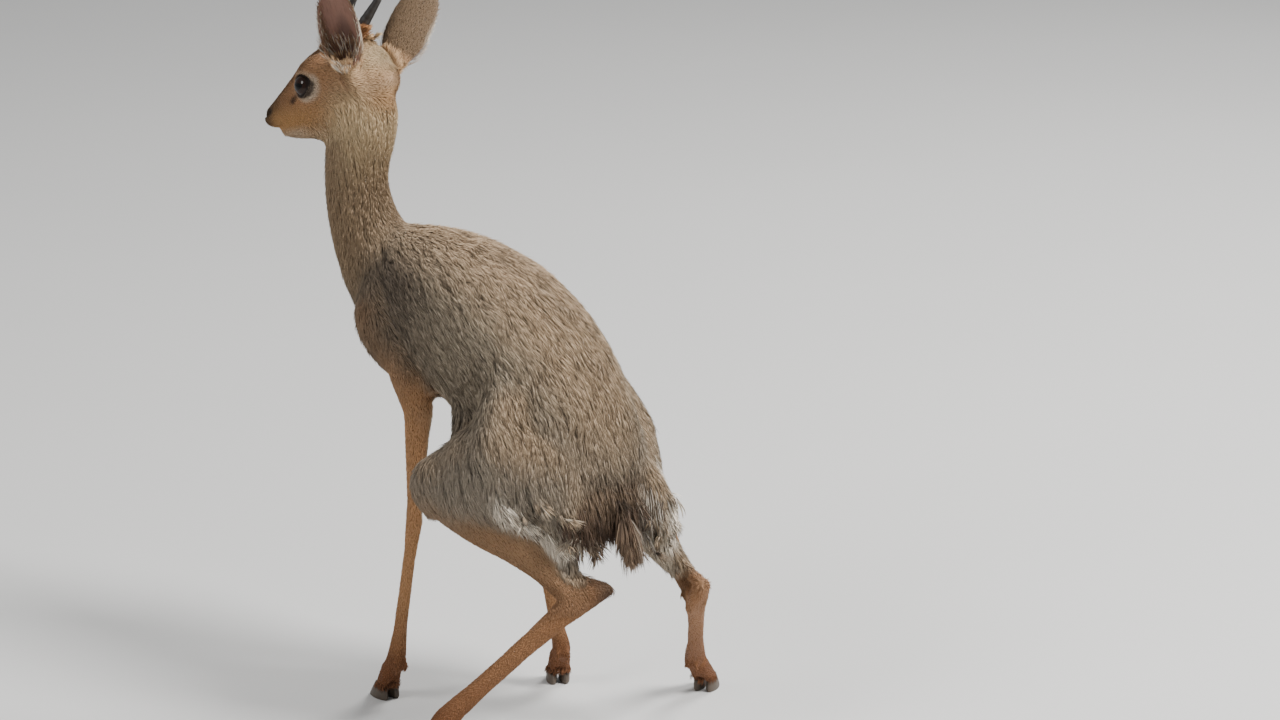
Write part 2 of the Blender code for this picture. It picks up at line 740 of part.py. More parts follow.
def mouth_and_nostrils(head):
    """The line of the mouth up each side of the muzzle, and a comma-shaped nostril on each."""
    cutters = []
    for sign in (1, -1):
        lips = [
            (0.1240, sign * 0.0020, -0.0255, 0.0036, 0.0006),
            (0.1160, sign * 0.0060, -0.0258, 0.0036, 0.0006),
            (0.1060, sign * 0.0088, -0.0256, 0.0036, 0.0006),
            (0.0950, sign * 0.0115, -0.0262, 0.0034, 0.0006),
            (0.0860, sign * 0.0145, -0.0278, 0.0026, 0.0005),
        ]
        nostril = [
            (0.1260, sign * 0.0045, -0.0150, 0.0020, 0.0030),
            (0.1205, sign * 0.0075, -0.0140, 0.0017, 0.0024),
            (0.1140, sign * 0.0105, -0.0126, 0.0012, 0.0013),
        ]
        cutters.append(head_loft("lips", lips, sides=8, caps=(0.5, 0.5)))
        cutters.append(head_loft("nostril", nostril, sides=10))
    boolean(head, "DIFFERENCE", cutters)


def tail_core(name, grow=0.0):
    """The short dock of the tail, whose top stands in a socket of the rump."""
    stations = [
        (0.002, 0.2380, 0.2060, 0.0100, 0.0070),
        (0.002, 0.2530, 0.1960, 0.0100, 0.0070),
        (0.003, 0.2600, 0.1820, 0.0080, 0.0055),
        (0.003, 0.2620, 0.1700, 0.0045, 0.0035),
    ]
    return loft(name, stations, (1, 0, 0), sides=12, steps=2, caps=(0.4, 0.8), grow=grow)


def lock(root, start, end, length, width, thickness=0.0016):
    """A flat lock of hair: it sets off along start, bends round to end and tapers to its tip."""
    start, end = Vector(start).normalized(), Vector(end).normalized()
    flat = start.cross(end)
    across = flat.normalized() if flat.length > 0.05 else start.orthogonal().normalized()
    # share of the length, share of the width
    profile = ((0.0, 0.75), (0.28, 1.0), (0.55, 0.86), (0.80, 0.52), (1.0, 0.12))
    bm = bmesh.new()
    loops = []
    for t, share in profile:
        centre = root + length * (start * (t - t * t / 2) + end * (t * t / 2))
        along = (start * (1 - t) + end * t).normalized()
        side = (across - across.dot(along) * along).normalized()
        up = along.cross(side)
        half, thick = width * share / 2, max(thickness * share / 2, 0.00025)
        corners = (side * half, up * thick, -side * half, -up * thick)
        loops.append([bm.verts.new(centre + corner) for corner in corners])
    for first, second in zip(loops, loops[1:]):
        for k in range(4):
            after = (k + 1) % 4
            bm.faces.new((first[k], first[after], second[after], second[k]))
    bm.faces.new(loops[0])
    bm.faces.new(loops[-1])
    return add_object("lock", bm)


def grow_locks(node, rows, seed, sink=0.0035, cling=1.0):
    """Fuses rows of locks to a node.

    A row is its two ends, how many locks, the way they lie, how far they stand off the surface,
    and their length and width. Each root is moved onto the node's surface and sunk in it. cling
    says how far the way they lie is bent into the surface.
    """
    tree = BVHTree.FromObject(node, bpy.context.evaluated_depsgraph_get())
    rng = random.Random(seed)
    locks = []
    for first, last, count, lie, stand, length, width in rows:
        for k in range(count):
            share = (k + 0.5 + rng.uniform(-0.18, 0.18)) / count
            place, normal, _, _ = tree.find_nearest(Vector(first).lerp(Vector(last), share))
            way = Vector(lie) + Vector([rng.uniform(-0.12, 0.12) for _ in range(3)])
            way = (way - cling * way.dot(normal) * normal).normalized()
            end = Vector(lie).normalized() * 0.5 + way * 0.5 + normal * 0.16
            size = rng.uniform(0.88, 1.10)
            locks.append(
                lock(place - normal * sink, way + normal * stand, end, length * size, width * size)
            )
    boolean(node, "UNION", locks)
    return keep_largest(node)


def tail_tuft(tail):
    """Tiers of long hair that spread to both sides of the dock and hang below it."""
    rows = []
    for height, half, count, spread, length in (
        (0.2020, 0.0085, 6, 0.66, 0.037),
        (0.1940, 0.0085, 6, 0.48, 0.038),
        (0.1850, 0.0075, 5, 0.30, 0.037),
        (0.1740, 0.0030, 3, 0.14, 0.029),
    ):
        for k in range(count):
            side = 2 * k / (count - 1) - 1
            place = (0.003 + half * side, 0.2650, height)
            rows.append((place, place, 1, (spread * side, 0.10, -1.0), 0.26, length, 0.0090))
    return grow_locks(tail, rows, 11, sink=0.0030, cling=0.0)


def rump_patch(leg, sign):
    """Long hair in three rows down the back of the thigh, and a curtain that sweeps to the tail."""
    lie = (-sign * 0.10, 0.22, -0.95)
    lower = ((sign * 0.079, 0.198, 0.1940), (sign * 0.048, 0.237, 0.1750))
    middle = ((sign * 0.074, 0.209, 0.2090), (sign * 0.048, 0.241, 0.1930))
    upper = ((sign * 0.068, 0.217, 0.2240), (sign * 0.046, 0.240, 0.2110))
    inner = ((sign * 0.050, 0.240, 0.1960), (sign * 0.036, 0.246, 0.1990))
    curtain = ((sign * 0.046, 0.242, 0.1930), (sign * 0.034, 0.246, 0.1970))
    sweep = (-sign * 0.52, 0.04, -0.85)
    rows = [
        (*lower, 7, lie, 0.34, 0.020, 0.0095),
        (*middle, 6, lie, 0.44, 0.027, 0.0100),
        (*upper, 6, lie, 0.42, 0.028, 0.0100),
        (*inner, 3, (0.0, 0.08, -1.0), 0.40, 0.037, 0.0100),
    ]
    grow_locks(leg, rows, 20 + sign, sink=0.0030)
    beside_tail = [(*curtain, 4, sweep, 0.20, 0.042, 0.0120)]
    return grow_locks(leg, beside_tail, 30 + sign, sink=0.0030, cling=0.0)


def crest(head):
    """The tuft on the crown, lying back between the horns and behind them."""
    turn = head_matrix().to_3x3().normalized()
    lie = turn @ Vector((-0.8, 0.0, 0.8))
    low = turn @ Vector((-1.0, 0.0, 0.15))
    rows = [
        (on_head(0.054, 0, 0.036), on_head(0.028, 0, 0.040), 5, lie, 0.60, 0.0175, 0.0070),
        (on_head(0.026, 0.010, 0.036), on_head(0.026, -0.010, 0.036), 3, low, 0.30, 0.0170, 0.0075),
    ]
    return grow_locks(head, rows, 5, sink=0.0030)


def half_space(point, normal, size=1.2):
    """A large block on the side of a plane that its normal points to."""
    normal = Vector(normal).normalized()
    bm = bmesh.new()
    bmesh.ops.create_cube(bm, size=size)
    turn = Vector((0, 0, 1)).rotation_difference(normal).to_matrix().to_4x4()
    bmesh.ops.transform(bm, matrix=Matrix.Translation((0, 0, size / 2)), verts=bm.verts)
    bmesh.ops.transform(bm, matrix=Matrix.Translation(point) @ turn, verts=bm.verts)
    return add_object("half_space", bm)


def block(low, high):
    bm = bmesh.new()
    bmesh.ops.create_cube(bm, size=1.0)
    low, high = Vector(low), Vector(high)
    matrix = Matrix.Translation((low + high) / 2) @ Matrix.Diagonal((*(high - low), 1.0))
    bmesh.ops.transform(bm, matrix=matrix, verts=bm.verts)
    return add_object("block", bm)


def part_off(body, name, material, region, region_with_gap):
    """The share of the body inside the region as a node; the body keeps what is beyond the gap."""
    node = bpy.data.objects.new(name, body.data.copy())
    bpy.context.scene.collection.objects.link(node)
    intersect(node, region)
    boolean(body, "DIFFERENCE", [region_with_gap])
    keep_largest(node)
    keep_largest(body)
    node.data.materials.clear()
    node.data.materials.append(make_material(material))
    return node


def below(height):
    return block((-0.40, -0.40, -0.10), (0.40, 0.60, height))


def hind_region(leg, sign, grow):
    """The thigh and all of the leg under it, before the two are parted."""
    low, high = (-0.30, 0.08, -0.05), (0.30, 0.40, 0.1600 + grow)
    if sign > 0:
        low = (0.002 - grow, *low[1:])
    else:
        high = (-0.002 + grow, *high[1:])
    pieces = thigh(leg, sign, grow=0.0045 + grow)
    knee, ankle, heel = joint(leg, "knee"), joint(leg, "ankle"), joint(leg, "heel")
    bend = (knee - joint(leg, "hip")).cross(ankle - knee).normalized()
    shin = [
        (*knee.lerp(ankle, -0.05), 0.0260, 0.0340),
        (*knee.lerp(ankle, 0.50), 0.0180, 0.0230),
        (*knee.lerp(ankle, 1.00), 0.0150, 0.0180),
    ]
    tendon = [(*knee.lerp(heel, 0.40), 0.0180, 0.0220), (*heel, 0.0120, 0.0150)]
    pieces.append(loft("shin_region", shin, bend, sides=12, steps=1, grow=grow))
    pieces.append(loft("tendon_region", tendon, bend, sides=12, steps=1, grow=grow))
    return boolean(block(low, high), "UNION", pieces)


def main():
    clear_scene()
    body = flesh()
    throat, breast = Vector((0.014, -0.0540, 0.4450)), Vector((0.006, -0.0465, 0.3550))
    nape, crop = Vector((0, -0.56, 1)).normalized(), Vector((0, -0.725, 0.69)).normalized()
    head = part_off(
        body, "head", "coat_tan", half_space(throat, nape), half_space(throat - nape * GAP, nape)
    )
    part_off(
        body, "neck", "coat_grey", half_space(breast, crop), half_space(breast - crop * GAP, crop)
    )
    for label, sign in SIDES:
        edges = sorted((sign * 0.001, sign * 0.30))
        wide = sorted((sign * (0.001 - GAP), sign * 0.30))
        region = block((edges[0], -0.20, -0.05), (edges[1], 0.110, 0.2400))
        region_with_gap = block((wide[0], -0.20, -0.05), (wide[1], 0.110, 0.2400 + GAP))
        leg = part_off(body, "leg_front_" + label, "coat_tan", region, region_with_gap)
        boolean(leg, "DIFFERENCE", [below_crown("front_" + label)])
        for side, digit in ((1, "a"), (-1, "b")):
            hoof(f"hoof_front_{label}_{digit}", "front_" + label, side)
    tail = tail_core("tail")
    boolean(body, "DIFFERENCE", [tail_core("tail_socket", grow=GAP)])
    tail_tuft(tail).data.materials.append(make_material("coat_grey"))
    for label, sign in SIDES:
        name = "hind_" + label
        thigh_node = part_off(
            body, "thigh_" + label, "coat_grey", hind_region(name, sign, 0.0), hind_region(name, sign, GAP)
        )
        leg = part_off(
            thigh_node, "leg_" + name, "coat_tan", below(THIGH_FOOT), below(THIGH_FOOT + GAP)
        )
        boolean(leg, "DIFFERENCE", [below_crown(name)])
        rump_patch(thigh_node, sign)
        for side, digit in ((1, "a"), (-1, "b")):
            hoof(f"hoof_{name}_{digit}", name, side)
    body.name = "torso"
    body.data.materials.clear()
    body.data.materials.append(make_material("coat_grey"))
    for label, sign in SIDES:
        eyelids(head, sign)
    mouth_and_nostrils(head)
    for label, sign in SIDES:
        centre, _ = eye_place(sign)
        eye = ball("eye_" + label, centre, (EYE_RADIUS,) * 3, segments=16, rings=10)
        eye.data.materials.append(make_material("eye"))
        horn("horn_" + label, sign).data.materials.append(make_material("horn"))
        ear("ear_" + label, sign)
        sockets = [ear_socket(sign), horn("horn_socket", sign, grow=GAP)]
        boolean(head, "DIFFERENCE", sockets)
    keep_largest(head)
    crest(head)
    centre_on_floor()


def centre_on_floor():
    """Moves everything sideways so that the middle of its box stands over the origin."""
    meshes = [obj.data for obj in bpy.context.scene.collection.objects]
    points = [vert.co for mesh in meshes for vert in mesh.vertices]
    low = Vector([min(point[i] for point in points) for i in range(3)])
    high = Vector([max(point[i] for point in points) for i in range(3)])
    shift = Vector((-(low.x + high.x) / 2, -(low.y + high.y) / 2, -low.z))
    for mesh in meshes:
        mesh.transform(Matrix.Translation(shift))


if __name__ == "__main__":
    main()
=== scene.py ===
"""A dik-dik at life size, crouched on spread legs: skin, coat, eyes, horns, ears, hooves."""

import math

import bpy
import numpy as np
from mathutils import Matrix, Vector
from mathutils.bvhtree import BVHTree
from mathutils.kdtree import KDTree


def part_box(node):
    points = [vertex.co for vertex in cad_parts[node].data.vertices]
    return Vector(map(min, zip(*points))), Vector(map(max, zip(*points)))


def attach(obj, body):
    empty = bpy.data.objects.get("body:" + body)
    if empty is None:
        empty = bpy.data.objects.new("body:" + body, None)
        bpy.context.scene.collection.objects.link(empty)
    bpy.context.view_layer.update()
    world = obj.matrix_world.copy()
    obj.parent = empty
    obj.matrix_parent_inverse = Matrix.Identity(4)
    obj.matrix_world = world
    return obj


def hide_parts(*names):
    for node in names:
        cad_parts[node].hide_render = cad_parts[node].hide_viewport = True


bl_info = {
    "name": "Dik-dik",
    "version": (1, 0, 0),
    "blender": (4, 5, 0),
    "location": "View3D > Sidebar > Dik-dik",
    "description": "Dresses the solids of a dik-dik in skin, coat, eyes, horns, ears and hooves",
    "category": "Object",
}

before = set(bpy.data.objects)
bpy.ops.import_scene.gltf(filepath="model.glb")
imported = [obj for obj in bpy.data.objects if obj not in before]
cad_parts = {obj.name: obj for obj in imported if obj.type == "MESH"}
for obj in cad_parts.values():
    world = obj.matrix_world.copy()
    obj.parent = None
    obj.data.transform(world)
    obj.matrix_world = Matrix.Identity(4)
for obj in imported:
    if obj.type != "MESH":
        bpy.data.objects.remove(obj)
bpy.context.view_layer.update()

SIDES = (("left", 1), ("right", -1))
ENDS = ("front", "hind")
FLESH = ("head", "neck", "torso", "tail", "thigh_left", "thigh_right") + tuple(
    f"leg_{end}_{side}" for end in ENDS for side, _ in SIDES
)

# The head's own axes: forward along the muzzle, to its left, and up from the brow. Their
# origin, how many times larger than its own measures the head is, and its yaw, pitch and roll
HEAD_ORIGIN = Vector((0.0130, -0.1017, 0.4965))
HEAD_SCALE = 1.035
HEAD_TURN = (17.5, 15.0, 7.0)


def head_axes():
    """The head's axes, from its yaw, pitch and roll in degrees."""
    yaw, pitch, roll = (math.radians(turn) for turn in HEAD_TURN)
    forward = Vector(
        (
            math.sin(yaw) * math.cos(pitch),
            -math.cos(yaw) * math.cos(pitch),
            -math.sin(pitch),
        )
    )
    left = Vector((math.cos(yaw), math.sin(yaw), 0.0))
    up = forward.cross(left)
    turned = left * math.cos(roll) + up * math.sin(roll)
    return forward, turned, up * math.cos(roll) - left * math.sin(roll)


FORWARD, LEFT, UP = head_axes()


def on_head(forward, left, up):
    """A place given along the head's own axes."""
    return HEAD_ORIGIN + HEAD_SCALE * (FORWARD * forward + LEFT * left + UP * up)


def of_head(forward, left, up):
    """A direction given along the head's own axes."""
    return (FORWARD * forward + LEFT * left + UP * up).normalized()


# Bones under the skin: group, ends, radii at the ends, and the way the hair lies over them
# where it doesn't run from the first end to the second
BONES = (
    ("trunk", (0.009, -0.112, 0.312), (0.007, -0.057, 0.316), 0.035, 0.057, (0, 0.93, -0.42)),
    ("trunk", (0.007, -0.057, 0.316), (0.004, 0.036, 0.299), 0.060, 0.064, (0, 0.93, -0.46)),
    ("trunk", (0.004, 0.036, 0.299), (0.004, 0.078, 0.276), 0.064, 0.062, (0, 0.85, -0.60)),
    ("trunk", (0.004, 0.078, 0.276), (0.005, 0.112, 0.245), 0.062, 0.057, (0, 0.72, -0.75)),
    ("trunk", (0.005, 0.112, 0.245), (0.005, 0.152, 0.192), 0.055, 0.035, (0, 0.50, -0.88)),
    ("neck", (0.021, -0.123, 0.487), (0.020, -0.126, 0.462), 0.022, 0.028, (0, 0.25, -1)),
    ("neck", (0.020, -0.126, 0.462), (0.021, -0.137, 0.415), 0.028, 0.026, (0, 0.05, -1)),
    ("neck", (0.021, -0.137, 0.415), (0.017, -0.126, 0.360), 0.026, 0.031, (0, 0.20, -1)),
    ("neck", (0.017, -0.126, 0.360), (0.013, -0.106, 0.330), 0.031, 0.038, (0, 0.45, -0.9)),
    ("fore", (0.040, -0.075, 0.310), (0.047, -0.026, 0.259), 0.026, 0.019, (0, 0.45, -0.9)),
    ("fore", (0.047, -0.024, 0.259), (0.054, -0.023, 0.150), 0.015, 0.010, None),
    ("cannon", (0.054, -0.023, 0.150), (0.066, -0.033, 0.037), 0.009, 0.008, None),
    ("foot", (0.066, -0.033, 0.037), (0.063, -0.055, 0.010), 0.009, 0.008, None),
    ("fore", (-0.036, -0.075, 0.305), (-0.043, -0.030, 0.254), 0.026, 0.019, (0, 0.45, -0.9)),
    ("fore", (-0.043, -0.030, 0.254), (-0.050, -0.003, 0.146), 0.015, 0.010, None),
    ("cannon", (-0.050, -0.003, 0.146), (-0.057, 0.025, 0.036), 0.009, 0.008, None),
    ("foot", (-0.057, 0.025, 0.036), (-0.071, 0.004, 0.010), 0.009, 0.008, None),
    ("thigh", (0.036, 0.137, 0.235), (0.086, 0.073, 0.211), 0.036, 0.034, (0.10, 0.36, -0.92)),
    ("thigh", (0.036, 0.150, 0.205), (0.044, 0.160, 0.155), 0.026, 0.012, (0.10, 0.15, -1)),
    ("shin", (0.091, 0.068, 0.200), (0.045, 0.171, 0.131), 0.022, 0.012, (-0.15, 0.75, -0.70)),
    ("cannon", (0.030, 0.176, 0.133), (0.130, 0.114, 0.039), 0.011, 0.009, None),
    ("foot", (0.130, 0.114, 0.039), (0.154, 0.103, 0.010), 0.009, 0.008, None),
    ("thigh", (-0.026, 0.136, 0.233), (-0.077, 0.078, 0.198), 0.036, 0.034, (-0.10, 0.36, -0.92)),
    ("thigh", (-0.030, 0.150, 0.205), (-0.046, 0.175, 0.155), 0.026, 0.012, (-0.10, 0.20, -1)),
    ("shin", (-0.081, 0.074, 0.187), (-0.055, 0.195, 0.118), 0.022, 0.012, (0.05, 0.80, -0.65)),
    ("cannon", (-0.050, 0.200, 0.122), (-0.123, 0.114, 0.037), 0.011, 0.009, None),
    ("foot", (-0.123, 0.114, 0.037), (-0.154, 0.097, 0.010), 0.009, 0.008, None),
)

# Head bones in the head's axes; hair lies back from the nose
HEAD_BONES = (
    ("muzzle", (0.122, 0, -0.018), (0.090, 0, -0.011), 0.009, 0.014),
    ("face", (0.090, 0, -0.011), (0.056, 0, -0.001), 0.015, 0.023),
    ("face", (0.056, 0, -0.001), (0.012, 0, 0.002), 0.024, 0.027),
)

# Coat by group: hair length, tuft width, how deep the coat is, tufts per square millimetre,
# and how strongly pale and dark hairs differ
COATS = {
    "trunk": (0.0165, 0.00115, 0.0030, 0.72, 1.12),
    "thigh": (0.0135, 0.00110, 0.0026, 0.74, 0.90),
    "neck": (0.0105, 0.00095, 0.0021, 0.86, 0.50),
    "face": (0.0042, 0.00062, 0.0007, 1.50, 0.22),
    "muzzle": (0.0026, 0.00046, 0.0003, 2.00, 0.15),
    "fore": (0.0052, 0.00080, 0.0008, 0.88, 0.22),
    "shin": (0.0048, 0.00080, 0.0007, 0.92, 0.22),
    "cannon": (0.0036, 0.00070, 0.0004, 0.80, 0.16),
    "foot": (0.0036, 0.00070, 0.0004, 0.85, 0.16),
}
GROUPS = tuple(COATS)

# Lower edge of the long white hair on each thigh
FRINGES = {
    "left": (
        (0.083, 0.122, 0.204),
        (0.071, 0.133, 0.192),
        (0.057, 0.143, 0.180),
        (0.050, 0.158, 0.172),
    ),
    "right": (
        (-0.055, 0.150, 0.212),
        (-0.064, 0.138, 0.195),
        (-0.056, 0.152, 0.182),
        (-0.042, 0.172, 0.168),
    ),
}

# Loose white hair at the right hip
HIP = ((-0.056, 0.150, 0.216), (-0.053, 0.160, 0.202), (-0.043, 0.174, 0.186))

# Nostril, mouth and the dark line from the eye's front corner, in the head's axes, for the
# left side
NOSTRIL = ((0.1255, 0.0048, -0.0150), (0.1140, 0.0105, -0.0126))
MOUTH = (
    (0.1240, 0.0020, -0.0255),
    (0.1160, 0.0060, -0.0258),
    (0.1060, 0.0088, -0.0256),
    (0.0950, 0.0115, -0.0262),
    (0.0860, 0.0145, -0.0278),
)
TEAR_LINE = ((0.0750, 0.0225, -0.0020), (0.0870, 0.0170, -0.0090))

# Eye, ear and horn in the head's axes, for the left side. An ear's lean is outwards and
# forwards, as a share of its rise, and the turn of its cup is forwards and outwards, for the
# left ear (1) and the right (-1). A horn is sunk into the head, and reaches on from there
EYE = (0.0675, 0.0235, 0.0005)
EAR_ROOT = (0.0195, 0.0265, 0.0040)
EAR_LEAN = {1: (0.50, -0.33), -1: (0.55, -0.42)}
EAR_TURN = {1: (-0.20, 1.0), -1: (0.35, 1.0)}
EAR_LENGTH, EAR_HALF_WIDTH = 0.084, 0.018
HORN_ROOT, HORN_WAY = (0.0430, 0.0130, 0.0280), (-0.72, 0.07, 0.69)
HORN_LENGTH, HORN_RADIUS, HORN_BOW = 0.074, 0.0062, 0.0020
HORN_SUNK, HORN_REACH = 0.006, 0.0795
HORN_RINGS, HORN_STATIONS, RING_HEIGHT = 13, 105, 0.00028
LID_HALF_LONG, LID_HALF_HIGH = 0.0101, 0.0080

# The skin grows this far while its pieces join, and is thinned to this many triangles
GROWN, SKIN_TRIANGLES = 0.0004, 185000

# The dock of the tail inside its hair: place and radius
DOCK, DOCK_RADIUS = (0.0075, 0.1830, 0.1880), 0.0085

# Skin thinner than this near the tail is what is left of a lock
THIN = 0.0105

# Such remains are looked for only behind the first of these, and between the other two heights
LOCK_ZONE = (0.110, 0.150, 0.235)

# Hair hangs free past the skin's edges only behind the first of these and below the second
HANGING = (0.090, 0.250)

# Streaks: the share of tufts that lead one, how many leaders a tuft chooses from, how much
# longer than wide one is, its width, and the furthest that a tuft is drawn to its middle
LEADERS, NEAR_LEADERS, STREAK_LENGTH = 0.030, 12, 6.5
STREAK_SPACING, STREAK_PULL = 0.0030, 0.0018

# Hair stays this far from the nostrils and the line of the mouth
NOSTRIL_CLEAR, MOUTH_CLEAR = 0.0022, 0.0009

# A tuft's rings by its number of segments: shares of its length, and of its width there
STATIONS = {2: ((0.42,), (1.0,)), 3: ((0.26, 0.64), (0.90, 0.85))}

# Where the camera looks, from the low corner of a front claw's box, and its lens and sensor
TARGET, LENS, SENSOR = Vector((-0.1358, 0.1733, 0.2894)), 143.51, 36.0

# Each light: way to it, distance, size and share of the key's power
LIGHTS = {
    "key": ((-0.42, 1.0, 1.05), 3.0, 1.1, 1.0),
    "rim": ((-1.0, -0.15, 0.9), 3.0, 1.4, 0.50),
    "fill": ((1.0, -0.15, 0.75), 3.4, 1.3, 0.30),
}
WORLD_COLOUR, WORLD_STRENGTH = (0.86, 0.89, 0.93, 1.0), 0.38

# Hollows and swellings worked into the skin: place, radius and how far it goes in
DENTS = (
    ((0.0470, 0.1620, 0.1530), 0.0090, 0.0022),
    ((-0.0480, 0.1850, 0.1400), 0.0080, 0.0018),
    ((0.0490, 0.1667, 0.1346), 0.0055, -0.0016),
    ((0.0560, 0.1540, 0.1530), 0.0040, -0.0012),
)


def linear(red, green, blue):
    """The shader's colour for a colour given as 0 to 255 on screen."""
    return np.array([((v / 255 + 0.055) / 1.055) ** 2.4 for v in (red, green, blue)])


# The back's brown, made lighter with painted light
LIT_SPINE_BROWN = linear(172, 148, 120)
FLANK_STRAW = linear(156, 142, 122)
# The shoulder's grey, darkened with painted shade
SHADED_SHOULDER_GREY = linear(106, 94, 81)
THIGH_GREY = linear(140, 129, 114)
SHIN_TAN = linear(156, 122, 90)
LEG_TAN = linear(186, 140, 98)
LEG_DARK = linear(126, 82, 52)
FACE_RUST = linear(180, 134, 96)
JAW_BROWN = linear(186, 142, 94)
NOSE_BROWN = linear(96, 74, 52)
RING_PALE = linear(212, 192, 168)
NECK_GREY = linear(148, 125, 98)
# The nape's tan, made lighter with painted light
LIT_NAPE_TAN = linear(214, 188, 148)
CREST_RUST = linear(126, 84, 48)
RUMP_WHITE = linear(238, 226, 208)
BELLY_PALE = linear(205, 188, 164)
TAIL_DARK = linear(84, 66, 52)
TAIL_TIP = linear(176, 150, 122)
EAR_BACK = linear(104, 84, 63)
SPOT_DARK = linear(42, 30, 24)


class DikdikCoatSettings(bpy.types.PropertyGroup):
    """How the coat is made."""

    length: bpy.props.FloatProperty(
        name="Hair length", description="Share of the hair's usual length", default=1.0
    )
    amount: bpy.props.FloatProperty(
        name="Hair amount", description="Share of the usual number of tufts", default=1.0
    )
    seed: bpy.props.IntProperty(name="Seed", description="Which way the hair falls", default=7)
    skin_voxel: bpy.props.FloatProperty(
        name="Skin voxel",
        description="Grain of the skin before it is thinned",
        default=0.0016,
        unit="LENGTH",
    )


class DikdikEyeSettings(bpy.types.PropertyGroup):
    """The eyes."""

    iris: bpy.props.FloatVectorProperty(
        name="Iris colour",
        description="Colour round the pupil",
        default=(0.012, 0.005, 0.003),
        subtype="COLOR",
    )
    cornea: bpy.props.FloatProperty(
        name="Cornea rise",
        description="How far the clear front stands out",
        default=0.0006,
        unit="LENGTH",
    )


class DikdikStageSettings(bpy.types.PropertyGroup):
    """Floor, lights and camera."""

    floor_colour: bpy.props.FloatVectorProperty(
        name="Floor colour",
        description="Colour of the floor",
        default=(0.62, 0.61, 0.59),
        subtype="COLOR",
    )
    camera_azimuth: bpy.props.FloatProperty(
        name="Camera azimuth",
        description="Turn of the camera round the animal",
        default=math.radians(140),
        subtype="ANGLE",
    )
    camera_elevation: bpy.props.FloatProperty(
        name="Camera elevation",
        description="Rise of the camera",
        default=math.radians(15),
        subtype="ANGLE",
    )
    camera_distance: bpy.props.FloatProperty(
        name="Camera distance",
        description="Distance from the camera to the middle of the view",
        default=4.0,
        unit="LENGTH",
    )
    key_power: bpy.props.FloatProperty(
        name="Key light", description="Power of the main light", default=160.0, unit="POWER"
    )


# Selecting and shaping


def deselect_all():
    if bpy.context.mode != "OBJECT":
        bpy.ops.object.mode_set(mode="OBJECT")
    bpy.ops.object.select_all(action="DESELECT")


def make_active(*objects):
    deselect_all()
    for obj in objects:
        obj.select_set(True)
    bpy.context.view_layer.objects.active = objects[0]
    return objects[0]


def copy_of_node(name, new_name):
    """A merged copy of a solid, whose triangles are loose in the frame."""
    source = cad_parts[name]
    copy = bpy.data.objects.new(new_name, source.data.copy())
    copy.data.materials.clear()
    bpy.context.scene.collection.objects.link(copy)
    make_active(copy)
    bpy.ops.object.mode_set(mode="EDIT")
    bpy.ops.mesh.select_all(action="SELECT")
    bpy.ops.mesh.remove_doubles(threshold=0.00002)
    bpy.ops.object.mode_set(mode="OBJECT")
    return copy


def join(objects, name):
    make_active(*objects)
    bpy.ops.object.join()
    joined = bpy.context.object
    joined.name = name
    joined.data.name = name
    return joined


def apply_modifier(obj, kind, **settings):
    modifier = obj.modifiers.new(kind.title(), kind)
    for key, value in settings.items():
        setattr(modifier, key, value)
    make_active(obj)
    bpy.ops.object.modifier_apply(modifier=modifier.name)


def apply_place(obj):
    """Leaves the object at the origin, unturned and unscaled, with its place in its mesh."""
    make_active(obj)
    bpy.ops.object.transform_apply(location=True, rotation=True, scale=True)


def shade_smooth(obj, angle=None):
    make_active(obj)
    if angle is None:
        bpy.ops.object.shade_smooth()
    else:
        bpy.ops.object.shade_smooth_by_angle(angle=math.radians(angle))


def set_group(obj, name, weights):
    """A vertex group that holds each point's weight."""
    group = obj.vertex_groups.new(name=name)
    steps = np.round(np.clip(weights, 0, 1) * 20).astype(int)
    for step in range(1, 21):
        found = np.nonzero(steps == step)[0]
        if len(found):
            group.add(found.tolist(), step / 20, "REPLACE")


def read(items, key, width, kind=np.float32):
    """A row of numbers for each of a mesh's items."""
    values = np.empty(len(items) * width, kind)
    items.foreach_get(key, values)
    return values.reshape(-1, width)


def points_of(mesh):
    return read(mesh.vertices, "co", 3).astype(float)


def normals_of(mesh):
    return read(mesh.vertex_normals, "vector", 3).astype(float)


def triangles_of(mesh):
    mesh.calc_loop_triangles()
    return read(mesh.loop_triangles, "vertices", 3, np.int32)


def set_points(mesh, points):
    mesh.vertices.foreach_set("co", points.astype(np.float32).ravel())
    mesh.update()


def unit(vectors):
    lengths = np.linalg.norm(vectors, axis=-1, keepdims=True)
    return vectors / np.maximum(lengths, 1e-12)


def store(mesh, name, values):
    """Keeps a number, a vector or a colour for each point of a mesh."""
    values = np.asarray(values, np.float32)
    kind, key = ("FLOAT", "value") if values.ndim == 1 else ("FLOAT_VECTOR", "vector")
    if values.ndim == 2 and values.shape[1] == 4:
        kind, key = "FLOAT_COLOR", "color"
    attribute = mesh.attributes.new(name, kind, "POINT")
    attribute.data.foreach_set(key, values.ravel())


def stored(mesh, name, width):
    """A vector or a colour that a mesh keeps for each point."""
    key = {3: "vector", 4: "color"}[width]
    return read(mesh.attributes[name].data, key, width).astype(float)


def ramp_of(values, low, high):
    """0 below low, 1 above high, smooth between."""
    share = np.clip((values - low) / (high - low), 0, 1)
    return share * share * (3 - 2 * share)


def ripple(points, scale, seed):
    """Smooth noise of about -1 to 1 over the body, from a few crossing waves."""
    rng = np.random.default_rng(seed)
    total = np.zeros(len(points))
    for _ in range(7):
        way = unit(rng.normal(size=3)) * rng.uniform(0.6, 1.6) * 2 * math.pi / scale
        total += np.sin(points @ way + rng.uniform(0, 2 * math.pi))
    return total / 3.2


# The body's own map


def all_bones():
    bones = []
    for group, first, last, low, high, way in BONES:
        first, last = Vector(first), Vector(last)
        way = Vector(way) if way else last - first
        bones.append((group, first, last, low, high, way.normalized()))
    for group, first, last, low, high in HEAD_BONES:
        way = of_head(-1, 0, 0.06)
        bones.append((group, on_head(*first), on_head(*last), low, high, way))
    return bones


